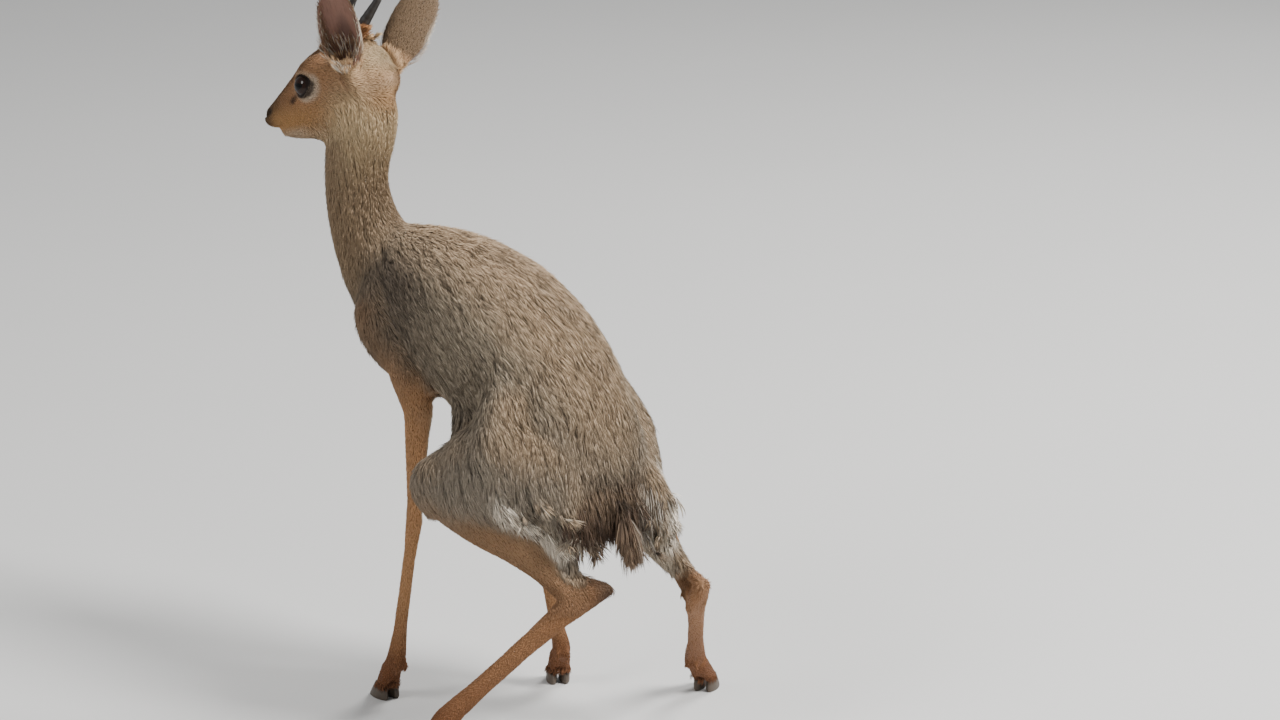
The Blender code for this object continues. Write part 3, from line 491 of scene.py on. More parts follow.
def bone_shares(points):
    """How much each bone counts at each point, and each point's share along each bone."""
    weights, along = [], []
    for _, first, last, low, high, _ in all_bones():
        first, step = np.array(first), np.array(last - first)
        share = np.clip((points - first) @ step / (step @ step), 0, 1)
        near = np.linalg.norm(points - first - share[:, None] * step, axis=1)
        radius = low + (high - low) * share
        weights.append(1.0 / np.maximum(near / radius, 0.15) ** 6)
        along.append(share)
    weights = np.array(weights).T
    return weights / weights.sum(axis=1, keepdims=True), np.array(along).T


def head_places(points):
    """Forward, left and up on the head, for each point."""
    offset = (points - np.array(HEAD_ORIGIN)) / HEAD_SCALE
    return offset @ np.array([FORWARD, LEFT, UP]).T


def away_on_head(points, path):
    """Distance of each point from a path on the nearer side of the head."""
    places = head_places(points)
    places[:, 1] = np.abs(places[:, 1])
    return away_from(places, path)


def markings(points, normals, shares):
    """The coat's colour at each point: grizzled body, brown spine, tan legs, rusty face, with
    painted light on the back and nape and painted shade on the shoulder, low flank, throat,
    nostrils and mouth.
    """
    x, y, z = points.T
    total = np.zeros((len(points), 3))
    colours = {
        "trunk": FLANK_STRAW,
        "neck": NECK_GREY,
        "face": FACE_RUST,
        "muzzle": NOSE_BROWN,
        "fore": LEG_TAN,
        "cannon": LEG_TAN,
        "foot": LEG_DARK,
        "thigh": THIGH_GREY,
        "shin": SHIN_TAN,
    }
    for k, bone in enumerate(all_bones()):
        total += shares[:, k : k + 1] * colours[bone[0]]

    def lay(colour, mask):
        total[:] = total + mask[:, None] * (colour - total)

    group = group_shares(shares)
    body = group["trunk"] + group["thigh"]
    top = ramp_of(normals[:, 2] + 0.5 * normals[:, 1], 0.35, 1.0)
    # the shoulder's front and sides take the grey, darker there as painted shade
    lay(SHADED_SHOULDER_GREY, group["trunk"] * ramp_of(-y, -0.02, 0.06) * (1 - top))
    # the back takes its brown where it faces up and back, lighter there as painted light
    lay(LIT_SPINE_BROWN, np.clip(body, 0, 1) * top)
    under = ramp_of(-normals[:, 2], 0.35, 0.9)
    lay(BELLY_PALE, group["trunk"] * under * ramp_of(y, -0.11, -0.05))
    inner = ramp_of(-normals[:, 0] * np.sign(x), 0.2, 0.8) * ramp_of(z, 0.13, 0.17)
    lay(BELLY_PALE, 0.8 * inner * (group["thigh"] + group["fore"]))
    lay(SHADED_SHOULDER_GREY, 0.45 * group["fore"] * ramp_of(z, 0.240, 0.290))
    # painted shade: the trunk's sides darken low down, under the thigh
    lay(SHADED_SHOULDER_GREY, 0.5 * group["trunk"] * (1 - top) * ramp_of(-z, -0.300, -0.240))
    lower = group["cannon"] + group["foot"]
    lay(LEG_DARK, 0.75 * lower * ramp_of(-z, -0.10, -0.03))
    lay(LEG_DARK, 0.55 * (lower + 0.7 * group["shin"] * ramp_of(-z, -0.160, -0.130)) * (y > 0.04))
    # white hair along the lower edge of each thigh, dark hair beside the tail
    for path in FRINGES.values():
        lay(RUMP_WHITE, 0.66 * ramp_of(-away_from(points, path), -0.0100, -0.0045) * body)
    lay(RUMP_WHITE, 0.95 * ramp_of(-away_from(points, HIP), -0.0130, -0.0070) * body)
    middle = ramp_of(-np.abs(x - 0.008), -0.040, -0.016) * ramp_of(y, 0.135, 0.150)
    lay(TAIL_DARK, 0.86 * middle * ramp_of(-z, -0.244, -0.210))
    # neck: tan-yellow nape, lighter where it faces back as painted light, and a throat darkened as
    # painted shade
    back = ramp_of(normals[:, 1], -0.3, 0.5)
    lay(LIT_NAPE_TAN, group["neck"] * back * ramp_of(z, 0.40, 0.475))
    # painted shade: the throat, facing forward, takes the darker grey
    lay(SHADED_SHOULDER_GREY, 0.6 * group["neck"] * ramp_of(-normals[:, 1], 0.2, 0.9))
    # head
    forward, left, up = head_places(points).T
    head = group["face"] + group["muzzle"]
    side = np.abs(left)
    crown = group["face"] * ramp_of(-forward, -0.034, -0.008) * ramp_of(up, -0.02, 0.02)
    lay(LIT_NAPE_TAN * 0.78, crown)
    lay(NECK_GREY, group["face"] * ramp_of(-forward, -0.030, -0.010) * ramp_of(-up, -0.005, 0.015))
    lay(JAW_BROWN, head * ramp_of(-up, 0.006, 0.024))
    lay(RING_PALE, 0.75 * head * ramp_of(-up, 0.026, 0.034))
    bridge = ramp_of(up + 0.40 * (forward - 0.07), 0.008, 0.017) * ramp_of(forward, 0.035, 0.06)
    lay(NOSE_BROWN, 0.8 * head * bridge)
    lay(NOSE_BROWN, 0.9 * head * ramp_of(forward, 0.106, 0.118) * ramp_of(up, -0.0255, -0.0215))
    poll = ramp_of(up, 0.026, 0.033) * ramp_of(-side, -0.017, -0.010)
    lay(CREST_RUST, 0.85 * group["face"] * poll * ramp_of(forward, 0.012, 0.03))
    for sign in (1, -1):
        eye = np.array([EYE[0], sign * EYE[1], EYE[2]])
        gap = np.array([forward, left, up]).T - eye
        gap[:, 2] *= 1.25
        reach = np.linalg.norm(gap, axis=1)
        behind = 0.45 + 0.55 * ramp_of(-(forward - EYE[0]) - up, -0.006, 0.008)
        lay(RING_PALE, 0.90 * head * behind * ramp_of(-reach, -0.0180, -0.0125))
        brow = 0.0106 + 0.0020 * ramp_of(forward - EYE[0] + 0.6 * up, -0.004, 0.006)
        lay(SPOT_DARK, 0.9 * head * ramp_of(brow - reach, -0.0010, 0.0005))
    tear = away_on_head(points, TEAR_LINE)
    lay(SPOT_DARK, 0.9 * head * ramp_of(-tear, -0.0040, -0.0016))
    # the nostrils and the line of the mouth: dark bare skin, with painted shade in the openings
    lay(SPOT_DARK, 0.9 * head * ramp_of(-away_on_head(points, NOSTRIL), -0.0040, -0.0020))
    lay(SPOT_DARK, 0.7 * head * ramp_of(-away_on_head(points, MOUTH), -0.0020, -0.0006))
    return total


def away_from(points, path):
    """Distance of each point from a path."""
    nearest = np.full(len(points), 1.0)
    for first, last in zip(path, path[1:]):
        first, step = np.array(first), np.array(last) - np.array(first)
        share = np.clip((points - first) @ step / (step @ step), 0, 1)
        gap = np.linalg.norm(points - first - share[:, None] * step, axis=1)
        nearest = np.minimum(nearest, gap)
    return nearest


def group_shares(shares):
    total = dict.fromkeys(GROUPS, 0.0)
    for k, bone in enumerate(all_bones()):
        total[bone[0]] = total[bone[0]] + shares[:, k]
    return total


def lie_of_coat(points, normals, shares, faces):
    """The way the hair lies at each point, along the surface."""
    ways = np.array([bone[5] for bone in all_bones()])
    flow = shares @ ways
    group = group_shares(shares)
    # Under the belly and between the legs it runs back and in
    under = ramp_of(-normals[:, 2], 0.3, 0.9) * group["trunk"]
    flow += under[:, None] * np.array([0.0, 0.8, 0.0])
    flow = unit(flow - (flow * normals).sum(axis=1, keepdims=True) * normals)
    ends = np.concatenate([faces[:, [0, 1]], faces[:, [1, 2]], faces[:, [2, 0]]])
    for _ in range(6):
        total = flow.copy()
        for k in range(3):
            total[:, k] += np.bincount(ends[:, 0], flow[ends[:, 1], k], len(flow))
            total[:, k] += np.bincount(ends[:, 1], flow[ends[:, 0], k], len(flow))
        flow = unit(total - (total * normals).sum(axis=1, keepdims=True) * normals)
    return flow


# Shader maths


class Value:
    """A socket whose sums and products add Math nodes."""

    def __init__(self, shader, socket):
        self.shader, self.socket = shader, socket

    def _math(self, operation, first, second):
        settings = {"operation": operation}
        return self.shader.node("ShaderNodeMath", settings, {0: first, 1: second})

    def __add__(self, other):
        return self._math("ADD", self, other)

    __radd__ = __add__

    def __sub__(self, other):
        return self._math("SUBTRACT", self, other)

    def __rsub__(self, other):
        return self._math("SUBTRACT", other, self)

    def __mul__(self, other):
        return self._math("MULTIPLY", self, other)

    __rmul__ = __mul__


class Shader:
    """A material under a plain name, built up from nodes."""

    def __init__(self, name, roughness, **constants):
        self.material = bpy.data.materials.new(name)
        self.material.use_nodes = True
        self.tree = self.material.node_tree
        self.surface = self.tree.nodes["Principled BSDF"]
        self.surface.inputs["Roughness"].default_value = roughness
        for key, value in constants.items():
            self.surface.inputs[key.replace("_", " ")].default_value = value

    def node(self, kind, settings=None, inputs=None, output=0):
        """A node of any type: its settings first, then the values or links of its sockets."""
        node = self.tree.nodes.new(kind)
        for key, value in (settings or {}).items():
            if key == "stops":
                self._set_stops(node.color_ramp, value)
            else:
                setattr(node, key, value)
        for key, value in (inputs or {}).items():
            socket = node.inputs[key]
            if isinstance(value, Value):
                self.tree.links.new(value.socket, socket)
            else:
                socket.default_value = value
        return Value(self, node.outputs[output])

    @staticmethod
    def _set_stops(ramp, stops):
        while len(ramp.elements) < len(stops):
            ramp.elements.new(1.0)
        for element, (position, colour) in zip(ramp.elements, stops):
            element.position = position
            element.color = (*colour, 1.0)

    def place(self):
        return self.node("ShaderNodeTexCoord", output="Object")

    def noise(self, scale, detail=2.0, roughness=0.5, where=None):
        inputs = {
            "Vector": where or self.place(),
            "Scale": scale,
            "Detail": detail,
            "Roughness": roughness,
        }
        return self.node("ShaderNodeTexNoise", None, inputs, "Fac")

    def number(self, name):
        return self.node("ShaderNodeAttribute", {"attribute_name": name}, output="Fac")

    def colour(self, name):
        return self.node("ShaderNodeAttribute", {"attribute_name": name}, output="Color")

    def smooth(self, value, low, high, start=0.0, end=1.0):
        settings = {"interpolation_type": "SMOOTHSTEP"}
        inputs = {0: value, 1: low, 2: high, 3: start, 4: end}
        return self.node("ShaderNodeMapRange", settings, inputs)

    def vector(self, operation, first, second=None, output=0):
        inputs = {0: first} if second is None else {0: first, 1: second}
        return self.node("ShaderNodeVectorMath", {"operation": operation}, inputs, output)

    def times(self, colour, factor):
        settings = {"operation": "SCALE"}
        return self.node("ShaderNodeVectorMath", settings, {0: colour, "Scale": factor})

    def mix(self, factor, first, second):
        inputs = {}
        for key, value in ((0, factor), (6, first), (7, second)):
            inputs[key] = (*value, 1.0) if isinstance(value, tuple) else value
        return self.node("ShaderNodeMix", {"data_type": "RGBA"}, inputs, 2)

    def bump(self, height, distance, strength=1.0):
        inputs = {"Strength": strength, "Distance": distance, "Height": height}
        return self.node("ShaderNodeBump", None, inputs, "Normal")

    def finish(self, colour, roughness=None, normal=None):
        links = {"Base Color": colour, "Roughness": roughness, "Normal": normal}
        for key, value in links.items():
            if value is not None:
                self.tree.links.new(value.socket, self.surface.inputs[key])
        return self.material


def hair_material():
    """Grizzled hair: dark at the root, a pale band, and a dark or pale tip."""
    s = Shader("hair", 0.62, Specular_IOR_Level=0.28)
    along, tone = s.number("along"), s.number("tone")
    fine = s.noise(1400.0, 3.0)
    root = s.smooth(along, 0.05, 0.62, 0.52, 1.0)
    band = s.smooth(along, 0.50, 0.80, 0.0, 1.0)
    pale = s.smooth(tone, 0.54, 0.84, 0.0, 1.0)
    dark = s.smooth(tone, 0.08, 0.34, 1.0, 0.0)
    body = s.times(s.colour("coat"), root * (0.84 + 0.34 * fine))
    tipped = s.mix(band * pale * 0.62, body, s.times(s.colour("coat"), 1.70))
    shaded = s.mix((0.60 + 0.40 * band) * dark * 0.70, tipped, s.times(s.colour("coat"), 0.30))
    return s.finish(shaded, roughness=0.56 + 0.16 * fine)


def skin_material():
    """The ground under the coat: close dark hair roots in the coat's own markings."""
    s = Shader("skin", 0.8, Specular_IOR_Level=0.2)
    fine = s.noise(900.0, 3.0)
    broad = s.noise(160.0, 2.0)
    colour = s.times(s.colour("coat"), 0.34 + 0.30 * fine + 0.20 * broad)
    return s.finish(colour, 0.74 + 0.2 * fine, s.bump(fine, 0.0006, 0.6))


def eye_material(centre, gaze, iris):
    """A dark brown globe with a wide dark pupil, under a clear wet front."""
    s = Shader("eye", 0.06, Specular_IOR_Level=0.24)
    way = s.vector("NORMALIZE", s.vector("SUBTRACT", s.place(), tuple(centre)))
    facing = s.vector("DOT_PRODUCT", way, tuple(gaze), "Value")
    rise = s.vector("DOT_PRODUCT", way, tuple(UP), "Value")
    streak = s.noise(1600.0, 3.0)
    iris_mask = s.smooth(facing, 0.70, 0.76)
    flat = (1.0 - facing) * 3.2 + rise * rise * 5.5
    pupil = s.smooth(flat, 0.34, 0.44, 1.0, 0.0)
    white = s.mix(streak * 0.3, (0.012, 0.007, 0.005), (0.030, 0.019, 0.013))
    ring = s.mix(streak, tuple(iris), tuple(2.2 * v for v in iris))
    colour = s.mix(iris_mask, white, ring)
    return s.finish(s.mix(pupil, colour, (0.002, 0.002, 0.002)))


def lid_material():
    s = Shader("lid", 0.34, Specular_IOR_Level=0.15)
    fine = s.noise(1500.0, 4.0)
    colour = s.mix(fine, (0.007, 0.004, 0.003), (0.020, 0.012, 0.009))
    return s.finish(colour, 0.50 + 0.25 * fine, s.bump(fine, 0.0003, 0.5))


def horn_material():
    """Black horn, dull and grained along its length, with paler worn ridges."""
    s = Shader("horn", 0.42)
    grain = s.noise(420.0, 5.0, 0.6)
    broad = s.noise(90.0, 2.0)
    ridge = s.number("ridge")
    colour = s.mix(grain, (0.008, 0.0065, 0.006), (0.026, 0.022, 0.018))
    worn = s.mix(ridge * broad * 0.5, colour, (0.060, 0.050, 0.042))
    return s.finish(worn, 0.36 + 0.25 * grain, s.bump(grain, 0.0004, 0.5))


def hoof_material():
    """Dark brown hoof with faint growth lines round it."""
    s = Shader("hoof", 0.45)
    stretch = s.vector("MULTIPLY", s.place(), (0.25, 0.25, 3.0))
    lines = s.noise(420.0, 3.0, 0.6, stretch)
    patch = s.noise(120.0, 2.0)
    colour = s.mix(lines, (0.020, 0.014, 0.010), (0.085, 0.060, 0.042))
    dusty = s.mix(patch * 0.4, colour, (0.16, 0.125, 0.09))
    return s.finish(dusty, 0.38 + 0.3 * lines, s.bump(lines, 0.0004, 0.5))


def ear_material():
    """Thin ear: warm bare skin with dark veins and painted shade deep in its cup inside, short
    grey-brown hair outside.
    """
    s = Shader("ear", 0.62)
    inside, along, across = s.number("inside"), s.number("along"), s.number("across")
    fine = s.noise(1100.0, 3.0)
    broad = s.noise(130.0, 3.0)
    streak = s.node(
        "ShaderNodeCombineXYZ", None, {"X": across * 30.0, "Y": along * 5.0, "Z": 0.0}
    )
    vein = s.noise(1.0, 3.0, 0.6, streak)
    flesh = s.mix(broad, (0.150, 0.066, 0.044), (0.235, 0.120, 0.084))
    # painted shade: the inside darkens towards the deepest middle of the cup
    deep = s.smooth(across * across + (along - 0.30) * (along - 0.30) * 2.2, 0.02, 0.30, 0.70, 0.0)
    cup_shaded = s.mix(deep, flesh, (0.050, 0.022, 0.016))
    veined = s.mix(s.smooth(vein, 0.50, 0.72) * 0.55, cup_shaded, (0.060, 0.030, 0.022))
    back = s.mix(fine, tuple(EAR_BACK * 0.75), tuple(EAR_BACK * 1.1))
    colour = s.mix(inside, back, veined)
    return s.finish(colour, 0.55 + 0.25 * fine, s.bump(fine, 0.0003, 0.5))


def floor_material(colour):
    s = Shader("floor", 0.75)
    speckle = s.noise(240.0, 3.0)
    cloud = s.noise(2.2, 3.0)
    pale = tuple(min(1.0, 1.04 * v) for v in colour)
    dull = tuple(0.955 * v for v in colour)
    tint = s.mix(cloud * 0.6 + speckle * 0.4, dull, pale)
    return s.finish(tint, 0.68 + 0.12 * speckle, s.bump(speckle, 0.0004, 0.15))


def give(obj, material, body="root"):
    """The piece's material and the body it rides on."""
    obj.data.materials.clear()
    obj.data.materials.append(material)
    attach(obj, body)


# Tufts


def tuft_faces(rings):
    """Triangles of one tuft: a point at the root, rings of three corners, a point at the tip."""
    faces = []
    tip = 3 * rings + 1
    for k in range(3):
        after = (k + 1) % 3
        faces.append((0, 1 + after, 1 + k))
        for ring in range(rings - 1):
            low, high = 1 + 3 * ring, 4 + 3 * ring
            faces.append((low + k, low + after, high + after))
            faces.append((low + k, high + after, high + k))
        last = 1 + 3 * (rings - 1)
        faces.append((last + k, last + after, tip))
    return np.array(faces)


def build_tufts(name, curve, normals, width, thick, segments, colour, tone, chart):
    """Closed tapered tufts as one mesh.

    curve holds each tuft's root, middle and tip as the corners of a bent path.
    """
    count = len(width)
    shares, widths = STATIONS[segments]
    rings = len(shares)
    root, middle, tip = curve
    across = unit(np.cross(tip - root, normals))
    lift = unit(np.cross(across, tip - root))
    points = np.empty((count, 3 * rings + 2, 3))
    along = np.zeros((count, 3 * rings + 2))
    side = np.zeros((count, 3 * rings + 2))
    points[:, 0], points[:, -1] = root, tip
    along[:, -1] = 1.0
    for ring, (share, wide) in enumerate(zip(shares, widths)):
        start, last = (1 - share) ** 2, share**2
        centre = start * root + 2 * share * (1 - share) * middle + last * tip
        half = (width * wide / 2)[:, None]
        deep = (thick * wide)[:, None]
        first = 1 + 3 * ring
        points[:, first] = centre - across * half
        points[:, first + 1] = centre + across * half
        points[:, first + 2] = centre + lift * deep
        along[:, first : first + 3] = share
        side[:, first], side[:, first + 1] = -0.5, 0.5
    faces = tuft_faces(rings)
    index = faces[None] + (np.arange(count) * (3 * rings + 2))[:, None, None]
    mesh = bpy.data.meshes.new(name)
    flat = index.reshape(-1, 3)
    mesh.vertices.add(points.shape[0] * points.shape[1])
    mesh.vertices.foreach_set("co", points.astype(np.float32).ravel())
    mesh.loops.add(len(flat) * 3)
    mesh.loops.foreach_set("vertex_index", flat.astype(np.int32).ravel())
    mesh.polygons.add(len(flat))
    mesh.polygons.foreach_set("loop_start", np.arange(0, 3 * len(flat), 3, dtype=np.int32))
    mesh.polygons.foreach_set("use_smooth", np.ones(len(flat), bool))
    mesh.update(calc_edges=True)
    each = points.shape[1]
    store(mesh, "along", along.ravel())
    store(mesh, "tone", np.repeat(tone, each))
    rgba = np.concatenate([np.clip(colour, 0, 1), np.ones((count, 1))], axis=1)
    store(mesh, "coat", np.repeat(rgba, each, axis=0))
    # Each tuft is a small patch at its root's place on the skin's own map
    patch = np.stack([side, along - 0.5], axis=-1) * 0.003
    layout = chart[:, None, :] * 0.98 + 0.01 + patch
    uv = mesh.uv_layers.new(name="OFBake")
    uv.data.foreach_set("uv", layout.reshape(-1, 2)[flat.ravel()].astype(np.float32).ravel())
    obj = bpy.data.objects.new(name, mesh)
    bpy.context.scene.collection.objects.link(obj)
    return obj


def spans(points, faces):
    """Each triangle's normal, as long as twice its area."""
    corners = points[faces]
    return np.cross(corners[:, 1] - corners[:, 0], corners[:, 2] - corners[:, 0])


def strew(load, rng):
    """Evenly strewn places on triangles with the loads given: triangle and weights."""
    load = np.cumsum(load * 1e6)
    count = int(load[-1])
    spots = (np.arange(count) + rng.random(count)) / count * load[-1]
    chosen = np.minimum(np.searchsorted(load, spots), len(load) - 1)
    a, b = rng.random(count), rng.random(count)
    turn = a + b > 1
    a[turn], b[turn] = 1 - a[turn], 1 - b[turn]
    return chosen, np.stack([1 - a - b, a, b], axis=1)


def tree_of(places):
    """A tree that finds the nearest of the places."""
    tree = KDTree(len(places))
    for k, place in enumerate(places.tolist()):
        tree.insert(place, k)
    tree.balance()
    return tree


class SkinMap:
    """The skin's points, triangles and what the coat needs to know at each of them."""

    def __init__(self, obj):
        mesh = obj.data
        self.points = points_of(mesh)
        self.normals = normals_of(mesh)
        self.faces = triangles_of(mesh)
        self.flow = stored(mesh, "flow", 3)
        self.colour = stored(mesh, "coat", 4)[:, :3]
        self.shares, self.along = bone_shares(self.points)
        self.thick = self.thick_faces()
        solid = self.faces[self.thick].tolist()
        self.tree = BVHTree.FromPolygons(self.points.tolist(), solid)
        self.area = 0.5 * np.linalg.norm(spans(self.points, self.faces), axis=1)
        styles = np.array([COATS[bone[0]] for bone in all_bones()])
        self.style = self.shares @ styles
        self.main = np.argmax(self.shares, axis=1)

    def thick_faces(self):
        """False for the thin remains of the solids' own locks, which hold no hair."""
        whole = BVHTree.FromPolygons(self.points.tolist(), self.faces.tolist())
        centre = self.points[self.faces].mean(axis=1)
        facing = unit(spans(self.points, self.faces))
        y, z = centre[:, 1], centre[:, 2]
        front, low, high = LOCK_ZONE
        thick = np.ones(len(self.faces), bool)
        for k in np.nonzero((y > front) & (z > low) & (z < high))[0]:
            start = Vector(centre[k] - 0.0003 * facing[k])
            thick[k] = whole.ray_cast(start, Vector(-facing[k]), THIN)[0] is None
        return thick

    def at(self, values, corners, weights):
        if values.ndim == 1:
            return (values[corners] * weights).sum(axis=1)
        return (values[corners] * weights[:, :, None]).sum(axis=1)

    def nearest(self, places):
        """The closest points of the skin and the normals there."""
        found, facing = np.empty_like(places), np.empty_like(places)
        for k, place in enumerate(places.tolist()):
            point, normal, _, _ = self.tree.find_nearest(place)
            found[k], facing[k] = point, normal
        return found, facing


def chart_of(skin, corners, weights, bones):
    """Places on the skin's map: once round a chain of bones, and along it."""
    points = skin.at(skin.points, corners, weights)
    lengths = np.array([(bone[2] - bone[1]).length for bone in all_bones()])
    before = np.zeros(len(lengths))
    run = 0.0
    for k in bones:
        before[k] = run
        run += lengths[k]
    main = np.array(bones)[np.argmax(skin.shares[corners[:, 0]][:, bones], axis=1)]
    along = skin.along[corners[:, 0]][np.arange(len(main)), main]
    down = (before[main] + along * lengths[main]) / run
    starts = np.array([bone[1] for bone in all_bones()])[main]
    steps = np.array([bone[2] - bone[1] for bone in all_bones()])[main]
    share = ((points - starts) * steps).sum(axis=1) / (steps * steps).sum(axis=1)
    offset = unit(points - starts - share[:, None] * steps)
    side = unit(np.cross(steps, np.array([0.0, 0.3, 1.0])))
    rise = np.cross(unit(steps), side)
    turn = np.arctan2((offset * side).sum(axis=1), (offset * rise).sum(axis=1))
    return np.stack([(turn + math.pi) / (2 * math.pi), down], axis=1)


def streaks(root, flow, side, rng):
    """The streak of hair that each tuft belongs to.

    Gives how far the tuft stands to the side of the streak's middle, the streak's own tone,
    and 0 at the middle to 1 in the furrow between two streaks.
    """
    count = len(root)
    seeds = rng.choice(count, max(NEAR_LEADERS, int(count * LEADERS)), replace=False)
    tree = tree_of(root[seeds])
    near = [[hit[1] for hit in tree.find_n(place, NEAR_LEADERS)] for place in root.tolist()]
    near = np.array(near)
    gap = root[:, None] - root[seeds][near]
    ahead = (gap * flow[:, None]).sum(axis=2)
    across = (gap * side[:, None]).sum(axis=2)
    best = np.argmin(across**2 + (ahead / STREAK_LENGTH) ** 2, axis=1)
    pick = np.arange(count)
    pull = across[pick, best]
    tone = rng.normal(size=len(seeds))[near[pick, best]]
    return pull, tone, np.clip(np.abs(pull) / (STREAK_SPACING / 2), 0, 1)


def leaves_skin(start, place, found, normal, facing):
    """True where the skin falls away too fast for the hair to follow it."""
    gap = np.linalg.norm(found - place, axis=1)
    reach = np.linalg.norm(place - start, axis=1)
    return ((gap > 0.30 * reach) | ((facing * normal).sum(axis=1) < 0.35))[:, None]


def laid_along(skin, root, normal, step, deep):
    """Middle and tip of hair that follows the skin, or hangs free past its hind edges."""
    deep = deep[:, None]
    half = root + 0.5 * step
    found, facing = skin.nearest(half)
    behind = ((root[:, 1] > HANGING[0]) & (root[:, 2] < HANGING[1]))[:, None]
    free = behind & leaves_skin(root, half, found, normal, facing)
    facing = unit(facing + normal)
    onward = step - (step * facing).sum(axis=1, keepdims=True) * facing
    onward = unit(onward) * (0.5 * np.linalg.norm(step, axis=1, keepdims=True))
    ahead = found + onward
    last, there = skin.nearest(ahead)
    loose = behind & leaves_skin(found, ahead, last, facing, there)
    there = unit(there + facing)
    middle = np.where(free, half + 0.7 * deep * normal, found + 0.8 * deep * facing)
    tip = np.where(loose, ahead + deep * facing, last + deep * there)
    turned = (unit(tip - root) * unit(step)).sum(axis=1, keepdims=True) < 0.75
    straight = root + step + 0.8 * deep * normal
    return middle, np.where(free | (behind & turned), straight, tip)


def clear_of_openings(points):
    """True away from the nostrils and the line of the mouth."""
    nostril, mouth = away_on_head(points, NOSTRIL), away_on_head(points, MOUTH)
    return (nostril > NOSTRIL_CLEAR) & (mouth > MOUTH_CLEAR)


def body_coat(skin, name, groups, keep, settings, bent):
    """A coat piece over the bones of some groups, where keep is true of the triangle's middle.

    bent hair lies in streaks and follows the skin; the rest is straight.
    """
    rng = np.random.default_rng(settings.seed + sum(map(ord, name)))
    bones = [k for k, bone in enumerate(all_bones()) if bone[0] in groups]
    middle = skin.points[skin.faces].mean(axis=1)
    mask = np.isin(skin.main[skin.faces[:, 0]], bones) & keep(middle) & skin.thick
    density = skin.style[:, 3][skin.faces].mean(axis=1) * settings.amount
    chosen, weights = strew(skin.area * mask * density, rng)
    corners = skin.faces[chosen]
    count = len(corners)
    root = skin.at(skin.points, corners, weights)
    normal = unit(skin.at(skin.normals, corners, weights))
    flow = skin.at(skin.flow, corners, weights)
    style = skin.at(skin.style, corners, weights)
    colour = skin.at(skin.colour, corners, weights)
    wave = ripple(root, 0.024, 3)[:, None]
    side = np.cross(normal, flow)
    flow = unit(flow + 0.17 * wave * side)
    side = np.cross(normal, flow)
    flow = unit(flow + rng.normal(0, 0.09, (count, 1)) * side)
    length = style[:, 0] * rng.uniform(0.72, 1.22, count) * settings.length
    width = style[:, 1] * rng.uniform(0.75, 1.25, count)
    deep = style[:, 2] * np.clip(rng.normal(0.92, 0.18, count), 0.35, 1.5)
    stray = rng.random(count) < 0.03
    deep[stray] *= 1.4
    contrast = style[:, 4]
    tone = 0.5 + contrast * (0.12 * rng.normal(size=count) + 0.06 * wave[:, 0])
    step = flow * length[:, None]
    if bent:
        pull, streak, furrow = streaks(root, flow, side, rng)
        # painted shade: tufts in the furrows between streaks are darker, and painted light: those
        # at a streak's middle are lighter; the streak's own tone is random
        tone += contrast * (0.16 * streak + 0.12 - 0.42 * furrow)
        deep *= 1.12 - 0.50 * furrow
        pull = np.clip(pull, -STREAK_PULL, STREAK_PULL)
        step = step - side * (0.75 * pull)[:, None]
        middle, tip = laid_along(skin, root, normal, step, deep)
    else:
        middle = root + 0.5 * step + normal * (0.8 * deep)[:, None]
        tip = root + step + normal * deep[:, None]
    start = root - normal * 0.0005
    tone = np.clip(tone, 0, 1)
    colour = colour * (1 + 0.26 * contrast[:, None] * (rng.random((count, 1)) - 0.5))
    chart = chart_of(skin, corners, weights, bones)
    curve = (start, middle, tip)
    return build_tufts(name, curve, normal, width, 0.30 * width, 2, colour, tone, chart)


def coat_and_skin(context):
    """The coat's settings, and what the coat needs to know of the finished skin."""
    return context.scene.dikdik_coat, SkinMap(bpy.data.objects["skin"])


# Operators: one for each piece or group of like pieces


